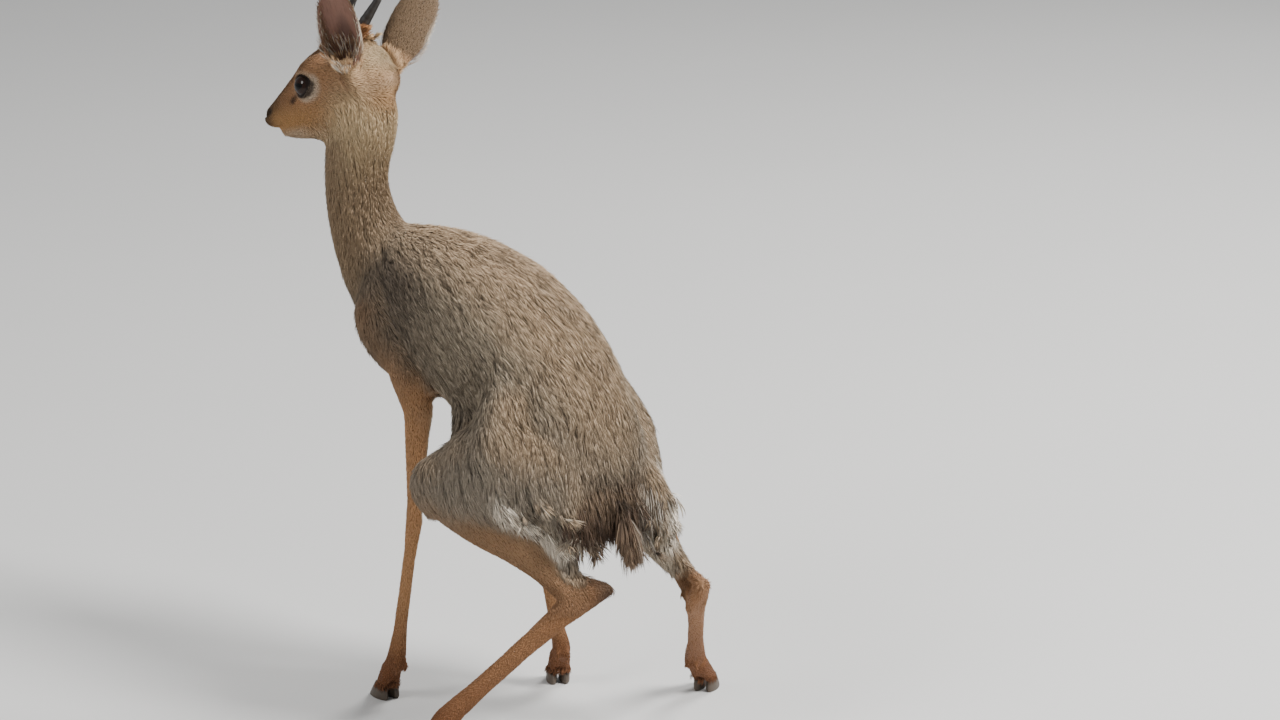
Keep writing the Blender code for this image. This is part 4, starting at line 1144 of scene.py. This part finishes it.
class DIKDIK_OT_skin(bpy.types.Operator):
    """One seamless skin inside the solids of flesh, by the depth of the coat"""

    bl_idname = "dikdik.skin"
    bl_label = "Skin"

    def execute(self, context):
        settings = context.scene.dikdik_coat
        copies = [copy_of_node(name, "flesh_" + name) for name in FLESH if name != "tail"]
        skin = join(copies, "skin")
        grown = points_of(skin.data) + GROWN * normals_of(skin.data)
        set_points(skin.data, grown)
        deselect_all()
        bpy.ops.mesh.primitive_uv_sphere_add(
            segments=24, ring_count=16, radius=DOCK_RADIUS, location=DOCK
        )
        dock = bpy.context.object
        dock.scale = (1.0, 0.72, 2.6)
        dock.rotation_euler = (math.radians(14), 0, 0)
        apply_place(dock)
        stalks = [self.ear_stalk(name, sign) for name, sign in SIDES]
        skin = join([skin, dock, *stalks], "skin")
        apply_modifier(skin, "REMESH", mode="VOXEL", voxel_size=settings.skin_voxel)
        points = points_of(skin.data)
        forward, left, up = head_places(points).T
        crest = ramp_of(up, 0.0355, 0.0385) * ramp_of(-np.abs(left), -0.020, -0.015)
        crest = crest * (forward < 0.075)
        y, z = points[:, 1], points[:, 2]
        seat = ramp_of(y, 0.100, 0.115) * ramp_of(-z, -0.238, -0.228) * ramp_of(z, 0.135, 0.146)
        set_group(skin, "locks", np.maximum(crest, seat))
        apply_modifier(skin, "SMOOTH", factor=0.5, iterations=70, vertex_group="locks")
        apply_modifier(skin, "SMOOTH", factor=0.5, iterations=4)
        points = points_of(skin.data)
        shares, _ = bone_shares(points)
        group = group_shares(shares)
        coarse = group["trunk"] + group["thigh"] + 0.8 * group["neck"]
        set_group(skin, "coarse", np.clip(coarse, 0, 1))
        wanted = SKIN_TRIANGLES / max(1, 2 * len(skin.data.polygons))
        if wanted < 1:
            thinning = {"ratio": wanted, "vertex_group": "coarse", "vertex_group_factor": 0.6}
            apply_modifier(skin, "DECIMATE", **thinning)
        mesh = skin.data
        points, normals = points_of(mesh), normals_of(mesh)
        shares, _ = bone_shares(points)
        depth = shares @ np.array([COATS[bone[0]][2] for bone in all_bones()])
        for place, radius, into in DENTS:
            gap = np.linalg.norm(points - np.array(place), axis=1)
            depth = depth + into * np.exp(-((gap / radius) ** 2))
        for path, radius, into in ((NOSTRIL, 0.0020, 0.0024), (MOUTH, 0.0013, 0.0011)):
            depth = depth + into * np.exp(-((away_on_head(points, path) / radius) ** 2))
        points = points - normals * (depth + GROWN)[:, None]
        set_points(mesh, points)
        apply_modifier(skin, "SMOOTH", factor=0.4, iterations=2)
        points, normals, faces = points_of(mesh), normals_of(mesh), triangles_of(mesh)
        shares, _ = bone_shares(points)
        colour = markings(points, normals, shares)
        store(mesh, "coat", np.concatenate([colour, np.ones((len(colour), 1))], axis=1))
        store(mesh, "flow", lie_of_coat(points, normals, shares, faces))
        shade_smooth(skin)
        give(skin, skin_material())
        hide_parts(*FLESH)
        return {"FINISHED"}

    def ear_stalk(self, name, sign):
        """The foot of the ear, cut off above the head, for the skin to grow round."""
        stalk = copy_of_node("ear_" + name, "stalk_" + name)
        length, _, _, root = ear_axes(sign)
        bpy.ops.object.mode_set(mode="EDIT")
        bpy.ops.mesh.select_all(action="SELECT")
        cut = root + length * 0.0105
        bpy.ops.mesh.bisect(plane_co=cut, plane_no=length, use_fill=True, clear_outer=True)
        bpy.ops.mesh.select_all(action="SELECT")
        bpy.ops.mesh.convex_hull()
        bpy.ops.object.mode_set(mode="OBJECT")
        return stalk


# Each piece of coat: the groups of bones under it, and which places on the skin it covers
COAT_PIECES = (
    ("coat_shoulders", ("trunk",), lambda p: p[:, 1] < -0.03),
    ("coat_barrel_left", ("trunk",), lambda p: (p[:, 1] >= -0.03) & (p[:, 0] >= 0.005)),
    ("coat_barrel_right", ("trunk",), lambda p: (p[:, 1] >= -0.03) & (p[:, 0] < 0.005)),
    ("coat_thigh_left", ("thigh",), lambda p: p[:, 0] > 0),
    ("coat_thigh_right", ("thigh",), lambda p: p[:, 0] <= 0),
    ("coat_neck", ("neck",), lambda p: p[:, 2] > 0),
    ("coat_head", ("face", "muzzle"), clear_of_openings),
    ("coat_fore_left", ("fore",), lambda p: p[:, 0] > 0),
    ("coat_fore_right", ("fore",), lambda p: p[:, 0] <= 0),
    ("coat_shin_left", ("shin",), lambda p: p[:, 0] > 0),
    ("coat_shin_right", ("shin",), lambda p: p[:, 0] <= 0),
    ("coat_cannon_fore_left", ("cannon", "foot"), lambda p: (p[:, 0] > 0) & (p[:, 1] < 0.04)),
    ("coat_cannon_fore_right", ("cannon", "foot"), lambda p: (p[:, 0] <= 0) & (p[:, 1] < 0.05)),
    ("coat_cannon_hind_left", ("cannon", "foot"), lambda p: (p[:, 0] > 0) & (p[:, 1] >= 0.04)),
    ("coat_cannon_hind_right", ("cannon", "foot"), lambda p: (p[:, 0] <= 0) & (p[:, 1] >= 0.05)),
)


class DIKDIK_OT_coat(bpy.types.Operator):
    """The coat of trunk, thighs, neck, head and legs, in pieces"""

    bl_idname = "dikdik.coat"
    bl_label = "Coat"

    def execute(self, context):
        settings, skin = coat_and_skin(context)
        hair = hair_material()
        for name, groups, keep in COAT_PIECES:
            bent = groups[0] in ("trunk", "thigh", "neck")
            piece = body_coat(skin, name, groups, keep, settings, bent)
            give(piece, hair)
        return {"FINISHED"}


def long_hair(skin, name, rows, settings, colour_of, gather=0.6):
    """Strands of long hair.

    A row is a line of root places, how many strands, the way they set off and end, their
    length and width, and how far their roots stray. gather is how far they form locks.
    """
    rng = np.random.default_rng(settings.seed + sum(map(ord, name)))
    roots, starts, ends, lengths, widths = [], [], [], [], []
    for first, last, count, start, end, length, width, stray in rows:
        count = int(count * (1.0))
        share = rng.random((count, 1))
        place = np.array(first) * (1 - share) + np.array(last) * share
        roots.append(place + rng.normal(0, stray, (count, 3)))
        starts.append(np.array(start) + rng.normal(0, 0.12, (count, 3)))
        ends.append(np.array(end) + rng.normal(0, 0.10, (count, 3)))
        lengths.append(length * rng.uniform(0.70, 1.12, count))
        widths.append(width * rng.uniform(0.7, 1.3, count))
    root, normal = skin.nearest(np.concatenate(roots))
    start, end = unit(np.concatenate(starts)), unit(np.concatenate(ends))
    inward = np.minimum((start * normal).sum(axis=1, keepdims=True), 0.0)
    start = unit(start - inward * normal + 0.12 * normal)
    length, width = np.concatenate(lengths), np.concatenate(widths)
    step = length[:, None]
    middle = root + 0.5 * step * start
    tip = middle + 0.5 * step * end
    count = len(root)
    # strands draw together towards the tips of the locks they belong to
    leaders = rng.choice(count, max(6, count // 12), replace=False)
    tree = tree_of(root[leaders])
    lock = leaders[[tree.find(place)[1] for place in root.tolist()]]
    near = np.linalg.norm(root[lock] - root, axis=1, keepdims=True) < 0.3 * step
    pull = gather * near * rng.uniform(0.5, 1.0, (count, 1))
    tip = tip + pull * (root[lock] + (tip - root)[lock] - tip)
    middle = middle + 0.3 * pull * (root[lock] + (middle - root)[lock] - middle)
    tone = np.clip(0.5 + 0.10 * rng.normal(size=count) + 0.17 * rng.normal(size=count)[lock], 0, 1)
    colour = colour_of(root, tip, rng) * (0.86 + 0.28 * rng.random((count, 1)))
    low, high = root.min(axis=0), root.max(axis=0)
    chart = ((root - low) / (high - low))[:, [0, 2]]
    curve = (root - normal * 0.001, middle, tip)
    obj = build_tufts(name, curve, normal, width, 0.35 * width, 3, colour, tone, chart)
    give(obj, bpy.data.materials["hair"])
    return obj


class DIKDIK_OT_tail(bpy.types.Operator):
    """The short tail's hanging brush, dark at the dock, tan and white among its tips"""

    bl_idname = "dikdik.tail"
    bl_label = "Tail hair"

    def execute(self, context):
        settings, skin = coat_and_skin(context)
        rows = []
        for height, half, count, spread, length in (
            (0.2060, 0.014, 420, 0.50, 0.037),
            (0.1970, 0.013, 420, 0.40, 0.038),
            (0.1880, 0.011, 350, 0.26, 0.035),
            (0.1760, 0.006, 210, 0.14, 0.026),
        ):
            for k in range(7):
                side = (k - 3) / 3
                place = (0.0050 + half * side, 0.190, height)
                start = (0.8 * spread * side - 0.05, 0.40, -0.9)
                end = (0.5 * spread * side - 0.05, 0.02, -1.0)
                rows.append((place, place, count // 7, start, end, length, 0.00095, 0.0018))

        def colours(root, tip, rng):
            low = ramp_of(-tip[:, 2], -0.178, -0.150)[:, None]
            right = ramp_of(-tip[:, 0], -0.004, 0.012)[:, None]
            tan = TAIL_DARK + 0.70 * low * rng.random((len(root), 1)) * (TAIL_TIP - TAIL_DARK)
            pale = rng.random((len(root), 1)) < 0.42
            grey = np.where(pale, RUMP_WHITE * 0.62, SHADED_SHOULDER_GREY * 0.9)
            return tan + right * (0.20 + 0.80 * low) * (grey - tan)

        long_hair(skin, "tail_hair", rows, settings, colours)
        return {"FINISHED"}


class DIKDIK_OT_rump(bpy.types.Operator):
    """The white hair along the thighs' lower edge and the dark curtain beside the tail"""

    bl_idname = "dikdik.rump"
    bl_label = "Rump hair"

    def execute(self, context):
        settings, skin = coat_and_skin(context)
        rows = []
        # along each fringe the hair runs back, in and down, nearly with the fringe itself
        for name, sign in SIDES:
            path = [np.array(place) for place in FRINGES[name]]
            for first, last in zip(path, path[1:]):
                lie = unit(last - first) + np.array([0.0, 0.15, -0.30])
                for rise, count, length in ((-0.001, 170, 0.015), (0.004, 190, 0.018)):
                    shift = np.array([0, 0.0, rise])
                    end = lie + np.array([0, 0.05, -0.20])
                    rows.append(
                        (first + shift, last + shift, count, lie, end, length, 0.00085, 0.0022)
                    )
        # rows from thigh to thigh, one above another, so that the hair falls over the dock
        end = (0.0, 0.06, -1.0)
        for height, length, count in (
            (0.218, 0.027, 340),
            (0.209, 0.032, 400),
            (0.200, 0.034, 420),
            (0.191, 0.031, 300),
        ):
            for x in (0.046, 0.034, 0.022, 0.010, -0.002, -0.014, -0.026, -0.038):
                beside = min(1.0, abs(x - 0.006) / 0.040)
                first = (x + 0.007, 0.172 - 0.010 * beside, height)
                last = (x - 0.007, 0.172 - 0.010 * beside, height - 0.004 * beside)
                lie = (-0.35 * (x - 0.006) / 0.040, 0.40, -0.9)
                share = length * (1.0 - 0.22 * beside)
                rows.append((first, last, count // 4, lie, end, share, 0.00095, 0.0030))
        # loose white hair at the right hip
        for first, last in zip(HIP, HIP[1:]):
            rows.append((first, last, 330, (-0.20, 0.55, -0.8), end, 0.022, 0.0009, 0.0035))

        def colours(root, tip, rng):
            fringe = np.minimum(
                away_from(root, FRINGES["left"]), away_from(root, FRINGES["right"])
            )
            white = ramp_of(-fringe, -0.0095, -0.0050)[:, None]
            hip = ramp_of(-away_from(root, HIP), -0.0100, -0.0050)[:, None]
            pale = rng.random((len(root), 1)) < 0.62 + 0.3 * hip
            streaked = np.where(pale, RUMP_WHITE * (1.0 + 0.12 * hip), THIGH_GREY)
            right = ramp_of(-root[:, 0], 0.004, 0.026)[:, None]
            high = ramp_of(root[:, 2], 0.202, 0.220)[:, None]
            grey = np.where(pale, RUMP_WHITE * 0.55, SHADED_SHOULDER_GREY * 0.9)
            base = TAIL_DARK * 0.95 + 0.75 * right * (grey - TAIL_DARK)
            base = base + 0.30 * high * (LIT_SPINE_BROWN * 0.8 - base)
            return base + np.maximum(white, hip) * (streaked - base)

        long_hair(skin, "rump_hair", rows, settings, colours)
        return {"FINISHED"}


class DIKDIK_OT_coronets(bpy.types.Operator):
    """The short hair that falls over the top of each foot's claws"""

    bl_idname = "dikdik.coronets"
    bl_label = "Coronets"

    def execute(self, context):
        settings, skin = coat_and_skin(context)
        rows = []
        for end in ENDS:
            for side, _ in SIDES:
                low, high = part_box(f"hoof_{end}_{side}_a")
                low_b, high_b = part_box(f"hoof_{end}_{side}_b")
                middle = (np.array(low) + high + low_b + high_b) / 4
                top = max(high.z, high_b.z)
                for k in range(20):
                    angle = 2 * math.pi * k / 20
                    out = np.array([math.cos(angle), math.sin(angle), 0.0])
                    place = np.array([middle[0], middle[1] + 0.002, top + 0.0010]) + 0.010 * out
                    way = 0.35 * out + np.array([0.0, -0.25, -1.0])
                    rows.append((place, place, 16, way, way, 0.0062, 0.00075, 0.0012))

        def colours(root, tip, rng):
            return np.repeat(LEG_DARK[None] * 0.8, len(root), axis=0)

        long_hair(skin, "coronet_hair", rows, settings, colours, 0.0)
        return {"FINISHED"}


class DIKDIK_OT_crest(bpy.types.Operator):
    """The rusty tuft on the crown, between and behind the horns"""

    bl_idname = "dikdik.crest"
    bl_label = "Crest"

    def execute(self, context):
        settings, skin = coat_and_skin(context)
        rows = []
        for forward, count, length, lean in (
            (0.058, 150, 0.0100, 0.25),
            (0.053, 160, 0.0120, 0.30),
            (0.048, 180, 0.0140, 0.35),
            (0.043, 190, 0.0150, 0.45),
            (0.038, 190, 0.0155, 0.60),
            (0.033, 190, 0.0150, 0.80),
            (0.028, 190, 0.0140, 1.10),
            (0.023, 180, 0.0125, 1.60),
            (0.018, 160, 0.0105, 2.40),
            (0.013, 130, 0.0090, 4.00),
        ):
            first = on_head(forward, -0.0110, 0.034)
            last = on_head(forward, 0.0110, 0.034)
            start, end = of_head(-lean, 0, 1.0), of_head(-0.6 - lean, 0, 0.30)
            rows.append((first, last, count, start, end, length, 0.00065, 0.0018))

        def colours(root, tip, rng):
            forward, left, _ = head_places(root).T
            front = ramp_of(forward, 0.008, 0.024)[:, None]
            rust = CREST_RUST * (0.75 + 0.6 * rng.random((len(root), 1)))
            return LIT_NAPE_TAN * 0.85 + front * (rust - LIT_NAPE_TAN * 0.85)

        long_hair(skin, "crest_hair", rows, settings, colours, 0.2)
        return {"FINISHED"}


# Ears


def ear_axes(sign):
    """The ear's length, the way its cup opens, its width, and its root."""
    lean, back = EAR_LEAN[sign]
    length = of_head(back, sign * lean, 1.0)
    opening = of_head(EAR_TURN[sign][0], sign * EAR_TURN[sign][1], 0.0)
    opening = (opening - opening.dot(length) * length).normalized()
    root = on_head(EAR_ROOT[0], sign * EAR_ROOT[1], EAR_ROOT[2])
    return length, opening, length.cross(opening), root


class DIKDIK_OT_ears(bpy.types.Operator):
    """Each ear's thin cup, the short hair on its back and rim, and the long hair inside"""

    bl_idname = "dikdik.ears"
    bl_label = "Ears"

    def execute(self, context):
        settings = context.scene.dikdik_coat
        material = ear_material()
        for name, sign in SIDES:
            ear = copy_of_node("ear_" + name, "ear_cup_" + name)
            apply_modifier(ear, "SUBSURF", levels=2, render_levels=2)
            length, opening, width, root = (np.array(v) for v in ear_axes(sign))
            mesh = ear.data
            points, normals = points_of(mesh), normals_of(mesh)
            along = (points - root) @ length / EAR_LENGTH
            across = (points - root) @ width / EAR_HALF_WIDTH
            facing = (normals * opening).sum(axis=1)
            inside = ramp_of(facing, -0.15, 0.15) * ramp_of(along, 0.05, 0.12)
            store(mesh, "along", along)
            store(mesh, "across", across)
            store(mesh, "inside", inside)
            shade_smooth(ear)
            give(ear, material)
            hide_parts("ear_" + name)
            hair = self.ear_hair(settings, name, sign, points, normals, along, across, inside, mesh)
            give(hair, bpy.data.materials["hair"])
            self.collar(settings, name, sign)
        return {"FINISHED"}

    def collar(self, settings, name, sign):
        """Hair that rises from the head round the ear's foot, white in front of its notch."""
        skin = SkinMap(bpy.data.objects["skin"])
        length, opening, width, root = (np.array(v) for v in ear_axes(sign))
        rows = []
        for k in range(16):
            angle = 2 * math.pi * k / 16
            out = opening * math.cos(angle) + width * math.sin(angle)
            front = max(0.0, math.cos(angle))
            for rise, count in ((0.002, 34), (0.006, 30)):
                place = root + out * 0.0085 + length * rise
                start, end = unit(length + 0.45 * out), unit(length + (0.12 + 0.3 * front) * out)
                long = 0.0105 + 0.0050 * front
                rows.append((place, place, count, start, end, long, 0.00065, 0.0014))

        def colours(roots, tip, rng):
            facing = unit(roots - root) @ opening
            white = (rng.random(len(roots)) < 0.55 * ramp_of(facing, 0.55, 0.90))[:, None]
            return np.where(white, RUMP_WHITE * 0.9, FACE_RUST * 0.5 + LIT_NAPE_TAN * 0.45)

        long_hair(skin, "ear_collar_" + name, rows, settings, colours, 0.3)

    def ear_hair(self, settings, name, sign, points, normals, along, across, inside, mesh):
        """Short hair on the ear's back and rim, and long pale hair in its mouth."""
        rng = np.random.default_rng(settings.seed + 40 + sign)
        length, opening, width, _ = (np.array(v) for v in ear_axes(sign))
        faces = triangles_of(mesh)
        area = 0.5 * np.linalg.norm(spans(points, faces), axis=1)
        inner = inside[faces].mean(axis=1)
        edge = np.abs(across[faces].mean(axis=1))
        up = along[faces].mean(axis=1)
        rim = ramp_of(edge, 0.62, 0.95)
        # the back is covered, the inside bare but for its rim and long strands at its base
        density = (1 - inner) * 1.7 + inner * (0.8 * rim + 0.28 * ramp_of(-up, -0.50, -0.15))
        density *= (up > -0.04) * 1.0
        chosen, weights = strew(area * density, rng)
        count = len(chosen)
        place = (points[faces[chosen]] * weights[:, :, None]).sum(axis=1)
        normal = unit((normals[faces[chosen]] * weights[:, :, None]).sum(axis=1))
        is_in, far, high = inner[chosen], edge[chosen], up[chosen]
        flow = length + width * (across[faces[chosen]].mean(axis=1) * 0.45)[:, None]
        low_in = is_in * ramp_of(-high, -0.42, -0.08)
        flow = flow + rng.normal(0, 0.16, (count, 3)) + 0.35 * low_in[:, None] * opening
        flow = unit(flow - (flow * normal).sum(axis=1, keepdims=True) * normal)
        size = np.where(is_in > 0.5, 0.0055 + 0.011 * low_in, 0.0042)
        size = size * rng.uniform(0.7, 1.2, count)
        wide = np.where(is_in > 0.5, 0.00042, 0.00070) * rng.uniform(0.8, 1.2, count)
        deep = np.where(is_in > 0.5, 0.0016 + 0.003 * low_in, 0.0005)
        step = flow * size[:, None]
        middle = place + 0.5 * step + normal * (0.8 * deep)[:, None]
        tip = place + step + normal * deep[:, None]
        pale = (ramp_of(far, 0.84, 1.0) * (0.35 + 0.65 * is_in))[:, None]
        inward = is_in[:, None]
        chosen_white = rng.random((count, 1)) < 0.10 + 0.30 * low_in[:, None]
        tuft = np.where(chosen_white, RUMP_WHITE * 0.8, SHIN_TAN * 0.75)
        colour = 1.15 * EAR_BACK * (1 - inward) + tuft * inward
        colour = colour + pale * (RUMP_WHITE * 0.85 - colour)
        # the foot of the ear takes the colour of the head
        foot = (ramp_of(-high, -0.20, -0.02) * (1 - is_in))[:, None]
        colour = colour + foot * (FACE_RUST * 0.9 - colour)
        colour = colour * (0.90 + 0.20 * rng.random((count, 1)))
        tone = np.clip(0.5 + 0.08 * rng.normal(size=count), 0, 1)
        # the inside and the back take one half of the map each
        half = np.where(is_in > 0.5, 0.75, 0.25)
        chart = np.clip([across[faces[chosen, 0]] * 0.22 + half, high], 0, 1).T
        curve = (place - normal * 0.0003, middle, tip)
        title = "ear_hair_" + name
        return build_tufts(title, curve, normal, wide, 0.3 * wide, 2, colour, tone, chart)


# Eyes


def eye_places(name, sign):
    low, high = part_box("eye_" + name)
    return (low + high) / 2, (high - low).x / 2, of_head(0.30, sign * 0.93, 0.10)


class DIKDIK_OT_eyes(bpy.types.Operator):
    """Each wet dark globe with its raised cornea, and the dark rim of its lids"""

    bl_idname = "dikdik.eyes"
    bl_label = "Eyes"

    def execute(self, context):
        settings = context.scene.dikdik_eye
        lid_skin = lid_material()
        for name, sign in SIDES:
            centre, radius, gaze = eye_places(name, sign)
            turn = gaze.to_track_quat("Z", "Y").to_euler()
            deselect_all()
            bpy.ops.mesh.primitive_uv_sphere_add(
                segments=64, ring_count=40, radius=radius, location=centre, rotation=turn
            )
            globe = bpy.context.object
            globe.name = "globe_" + name
            apply_place(globe)
            points = points_of(globe.data)
            offset = points - np.array(centre)
            facing = unit(offset) @ np.array(gaze)
            rise = settings.cornea * ramp_of(facing, 0.62, 0.95)
            set_points(globe.data, points + unit(offset) * rise[:, None])
            shade_smooth(globe)
            give(globe, eye_material(centre, gaze, settings.iris))
            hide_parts("eye_" + name)
            self.lids(name, centre, radius, gaze, lid_skin)
        return {"FINISHED"}

    def lids(self, name, centre, radius, gaze, material):
        """A ring round the almond opening, laid on the globe."""
        deselect_all()
        bpy.ops.mesh.primitive_torus_add(
            major_segments=72, minor_segments=12, major_radius=1.0, minor_radius=0.1
        )
        ring = bpy.context.object
        ring.name = "lids_" + name
        ring.data.name = ring.name
        slit = of_head(1, 0, -0.25)
        slit = (slit - slit.dot(gaze) * gaze).normalized()
        rise = gaze.cross(slit)
        if rise.dot(UP) < 0:
            rise = -rise
        points = points_of(ring.data)
        angle = np.arctan2(points[:, 1], points[:, 0])
        out = np.hypot(points[:, 0], points[:, 1]) - 1.0
        lift = points[:, 2]
        c, s = np.cos(angle), np.sin(angle)
        reach_x = np.sign(c) * np.abs(c) ** 0.85 * (LID_HALF_LONG + out * 0.008)
        reach_y = s * (LID_HALF_HIGH + out * (0.008 + 0.006 * (s > 0)))
        flat = reach_x[:, None] * np.array(slit) + reach_y[:, None] * np.array(rise)
        away = np.maximum(radius**2 - reach_x**2 - reach_y**2, 1e-7) ** 0.5
        base = np.array(centre) + flat + away[:, None] * np.array(gaze)
        outward = unit(base - np.array(centre))
        set_points(ring.data, base + outward * (0.00015 + lift * 0.0038)[:, None])
        shade_smooth(ring)
        give(ring, material)


# Horns and hooves


class DIKDIK_OT_horns(bpy.types.Operator):
    """Two straight spikes, ringed near their bases and smooth at their tips"""

    bl_idname = "dikdik.horns"
    bl_label = "Horns"

    def execute(self, context):
        material = horn_material()
        for name, sign in SIDES:
            stations = self.stations(sign)
            axis = (stations[1][0] - stations[0][0]).normalized()
            deselect_all()
            bpy.ops.mesh.primitive_circle_add(
                vertices=28,
                radius=stations[0][1],
                fill_type="NGON",
                location=stations[0][0],
                rotation=axis.to_track_quat("Z", "Y").to_euler(),
            )
            horn = bpy.context.object
            horn.name = "spike_" + name
            apply_place(horn)
            bpy.ops.object.mode_set(mode="EDIT")
            bpy.ops.mesh.select_mode(type="FACE")
            bpy.ops.mesh.select_all(action="SELECT")
            for (before, small), (after, large) in zip(stations, stations[1:]):
                bpy.ops.mesh.extrude_region_move(
                    TRANSFORM_OT_translate={"value": after - before}
                )
                share = large / small
                bpy.ops.transform.resize(value=(share, share, share), center_override=after)
            bpy.ops.mesh.select_all(action="SELECT")
            bpy.ops.mesh.normals_make_consistent(inside=False)
            bpy.ops.object.mode_set(mode="OBJECT")
            mesh = horn.data
            mesh.name = horn.name
            base, top = np.array(stations[0][0]), np.array(stations[-1][0])
            along = (points_of(mesh) - base) @ unit(top - base) / np.linalg.norm(top - base)
            fading = ramp_of(-along, -0.65, -0.25)
            waves = np.cos(along * 2 * math.pi * HORN_RINGS)
            store(mesh, "ridge", fading * (0.5 + 0.5 * waves))
            shade_smooth(horn)
            give(horn, material)
            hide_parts("horn_" + name)
        return {"FINISHED"}

    def stations(self, sign):
        """Centres and radii up the horn."""
        root = Vector((HORN_ROOT[0], sign * HORN_ROOT[1], HORN_ROOT[2]))
        way = Vector((HORN_WAY[0], sign * HORN_WAY[1], HORN_WAY[2]))
        found = []
        for k in range(HORN_STATIONS):
            share = k / (HORN_STATIONS - 1)
            reach = -HORN_SUNK + share * HORN_REACH
            taper = HORN_RADIUS * (1 - 0.93 * share**1.25)
            wave = math.cos(share * 2 * math.pi * HORN_RINGS)
            ring = RING_HEIGHT * wave * max(0.0, 1 - share * 1.5)
            bow = Vector((HORN_BOW * (reach / HORN_LENGTH) ** 2, 0, 0))
            place = on_head(*(root + way * (reach / HEAD_SCALE) + bow))
            found.append((place, max(taper + ring, 0.0003)))
        return found


class DIKDIK_OT_hooves(bpy.types.Operator):
    """The eight claws, rounded at their edges, with growth lines"""

    bl_idname = "dikdik.hooves"
    bl_label = "Hooves"

    def execute(self, context):
        material = hoof_material()
        for end in ENDS:
            for side, _ in SIDES:
                for digit in ("a", "b"):
                    name = f"hoof_{end}_{side}_{digit}"
                    claw = copy_of_node(name, "claw_" + name[5:])
                    low = points_of(claw.data)[:, 2].min()
                    apply_modifier(
                        claw, "BEVEL", width=0.0006, segments=2, angle_limit=math.radians(35)
                    )
                    apply_modifier(claw, "SUBSURF", levels=1, render_levels=1)
                    points = points_of(claw.data)
                    points[:, 2] = np.where(points[:, 2] < low + 0.0003, low, points[:, 2])
                    set_points(claw.data, points)
                    shade_smooth(claw)
                    give(claw, material)
                    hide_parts(name)
        return {"FINISHED"}


class DIKDIK_OT_stage(bpy.types.Operator):
    """A plain pale floor, soft lights and the camera"""

    bl_idname = "dikdik.stage"
    bl_label = "Stage"

    def execute(self, context):
        settings = context.scene.dikdik_stage
        deselect_all()
        bpy.ops.mesh.primitive_plane_add(size=12.0, location=(0, 0, 0))
        floor = bpy.context.object
        floor.name = "floor"
        floor.data.materials.append(floor_material(tuple(settings.floor_colour)))
        target = Vector(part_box("hoof_front_left_a")[0]) + TARGET
        azimuth, elevation = settings.camera_azimuth, settings.camera_elevation
        back = Vector(
            (
                math.sin(azimuth) * math.cos(elevation),
                -math.cos(azimuth) * math.cos(elevation),
                math.sin(elevation),
            )
        )
        camera = bpy.data.objects.new("camera", bpy.data.cameras.new("camera"))
        self.aim(camera, target, back, settings.camera_distance)
        camera.data.lens, camera.data.sensor_width = LENS, SENSOR
        context.scene.camera = camera
        for name, (way, distance, size, share) in LIGHTS.items():
            data = bpy.data.lights.new(name, "AREA")
            data.shape, data.size, data.energy = "DISK", size, share * settings.key_power
            light = bpy.data.objects.new(name, data)
            self.aim(light, target, Vector(way).normalized(), distance)
        world = bpy.data.worlds.new("studio")
        context.scene.world = world
        world.use_nodes = True
        ground = world.node_tree.nodes["Background"]
        ground.inputs["Color"].default_value = WORLD_COLOUR
        ground.inputs["Strength"].default_value = WORLD_STRENGTH
        return {"FINISHED"}

    def aim(self, obj, target, back, distance):
        """Adds a camera or light, set back from the target and turned to it."""
        bpy.context.scene.collection.objects.link(obj)
        obj.location = target + back * distance
        obj.rotation_euler = back.to_track_quat("Z", "Y").to_euler()


class DIKDIK_PT_panel(bpy.types.Panel):
    """Lists the steps that dress the animal"""

    bl_idname = "DIKDIK_PT_panel"
    bl_label = "Dik-dik"
    bl_space_type = "VIEW_3D"
    bl_region_type = "UI"
    bl_category = "Dik-dik"

    def draw(self, context):
        layout = self.layout
        for group, _ in SETTINGS:
            settings, box = getattr(context.scene, group), layout.box()
            for key in settings.bl_rna.properties.keys():
                if key not in ("rna_type", "name"):
                    box.prop(settings, key)
        for operator in OPERATORS:
            layout.operator(operator.bl_idname)


SETTINGS = (
    ("dikdik_coat", DikdikCoatSettings),
    ("dikdik_eye", DikdikEyeSettings),
    ("dikdik_stage", DikdikStageSettings),
)
OPERATORS = (
    DIKDIK_OT_skin,
    DIKDIK_OT_coat,
    DIKDIK_OT_tail,
    DIKDIK_OT_rump,
    DIKDIK_OT_coronets,
    DIKDIK_OT_crest,
    DIKDIK_OT_ears,
    DIKDIK_OT_eyes,
    DIKDIK_OT_horns,
    DIKDIK_OT_hooves,
    DIKDIK_OT_stage,
)


def register():
    for key, group in SETTINGS:
        bpy.utils.register_class(group)
        setattr(bpy.types.Scene, key, bpy.props.PointerProperty(type=group))
    for operator in OPERATORS:
        bpy.utils.register_class(operator)
    bpy.utils.register_class(DIKDIK_PT_panel)


def unregister():
    bpy.utils.unregister_class(DIKDIK_PT_panel)
    for operator in reversed(OPERATORS):
        bpy.utils.unregister_class(operator)
    for key, group in reversed(SETTINGS):
        delattr(bpy.types.Scene, key)
        bpy.utils.unregister_class(group)


def main():
    register()
    for operator in OPERATORS:
        area, name = operator.bl_idname.split(".")
        getattr(getattr(bpy.ops, area), name)()
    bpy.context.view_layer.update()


if __name__ == "__main__":
    main()
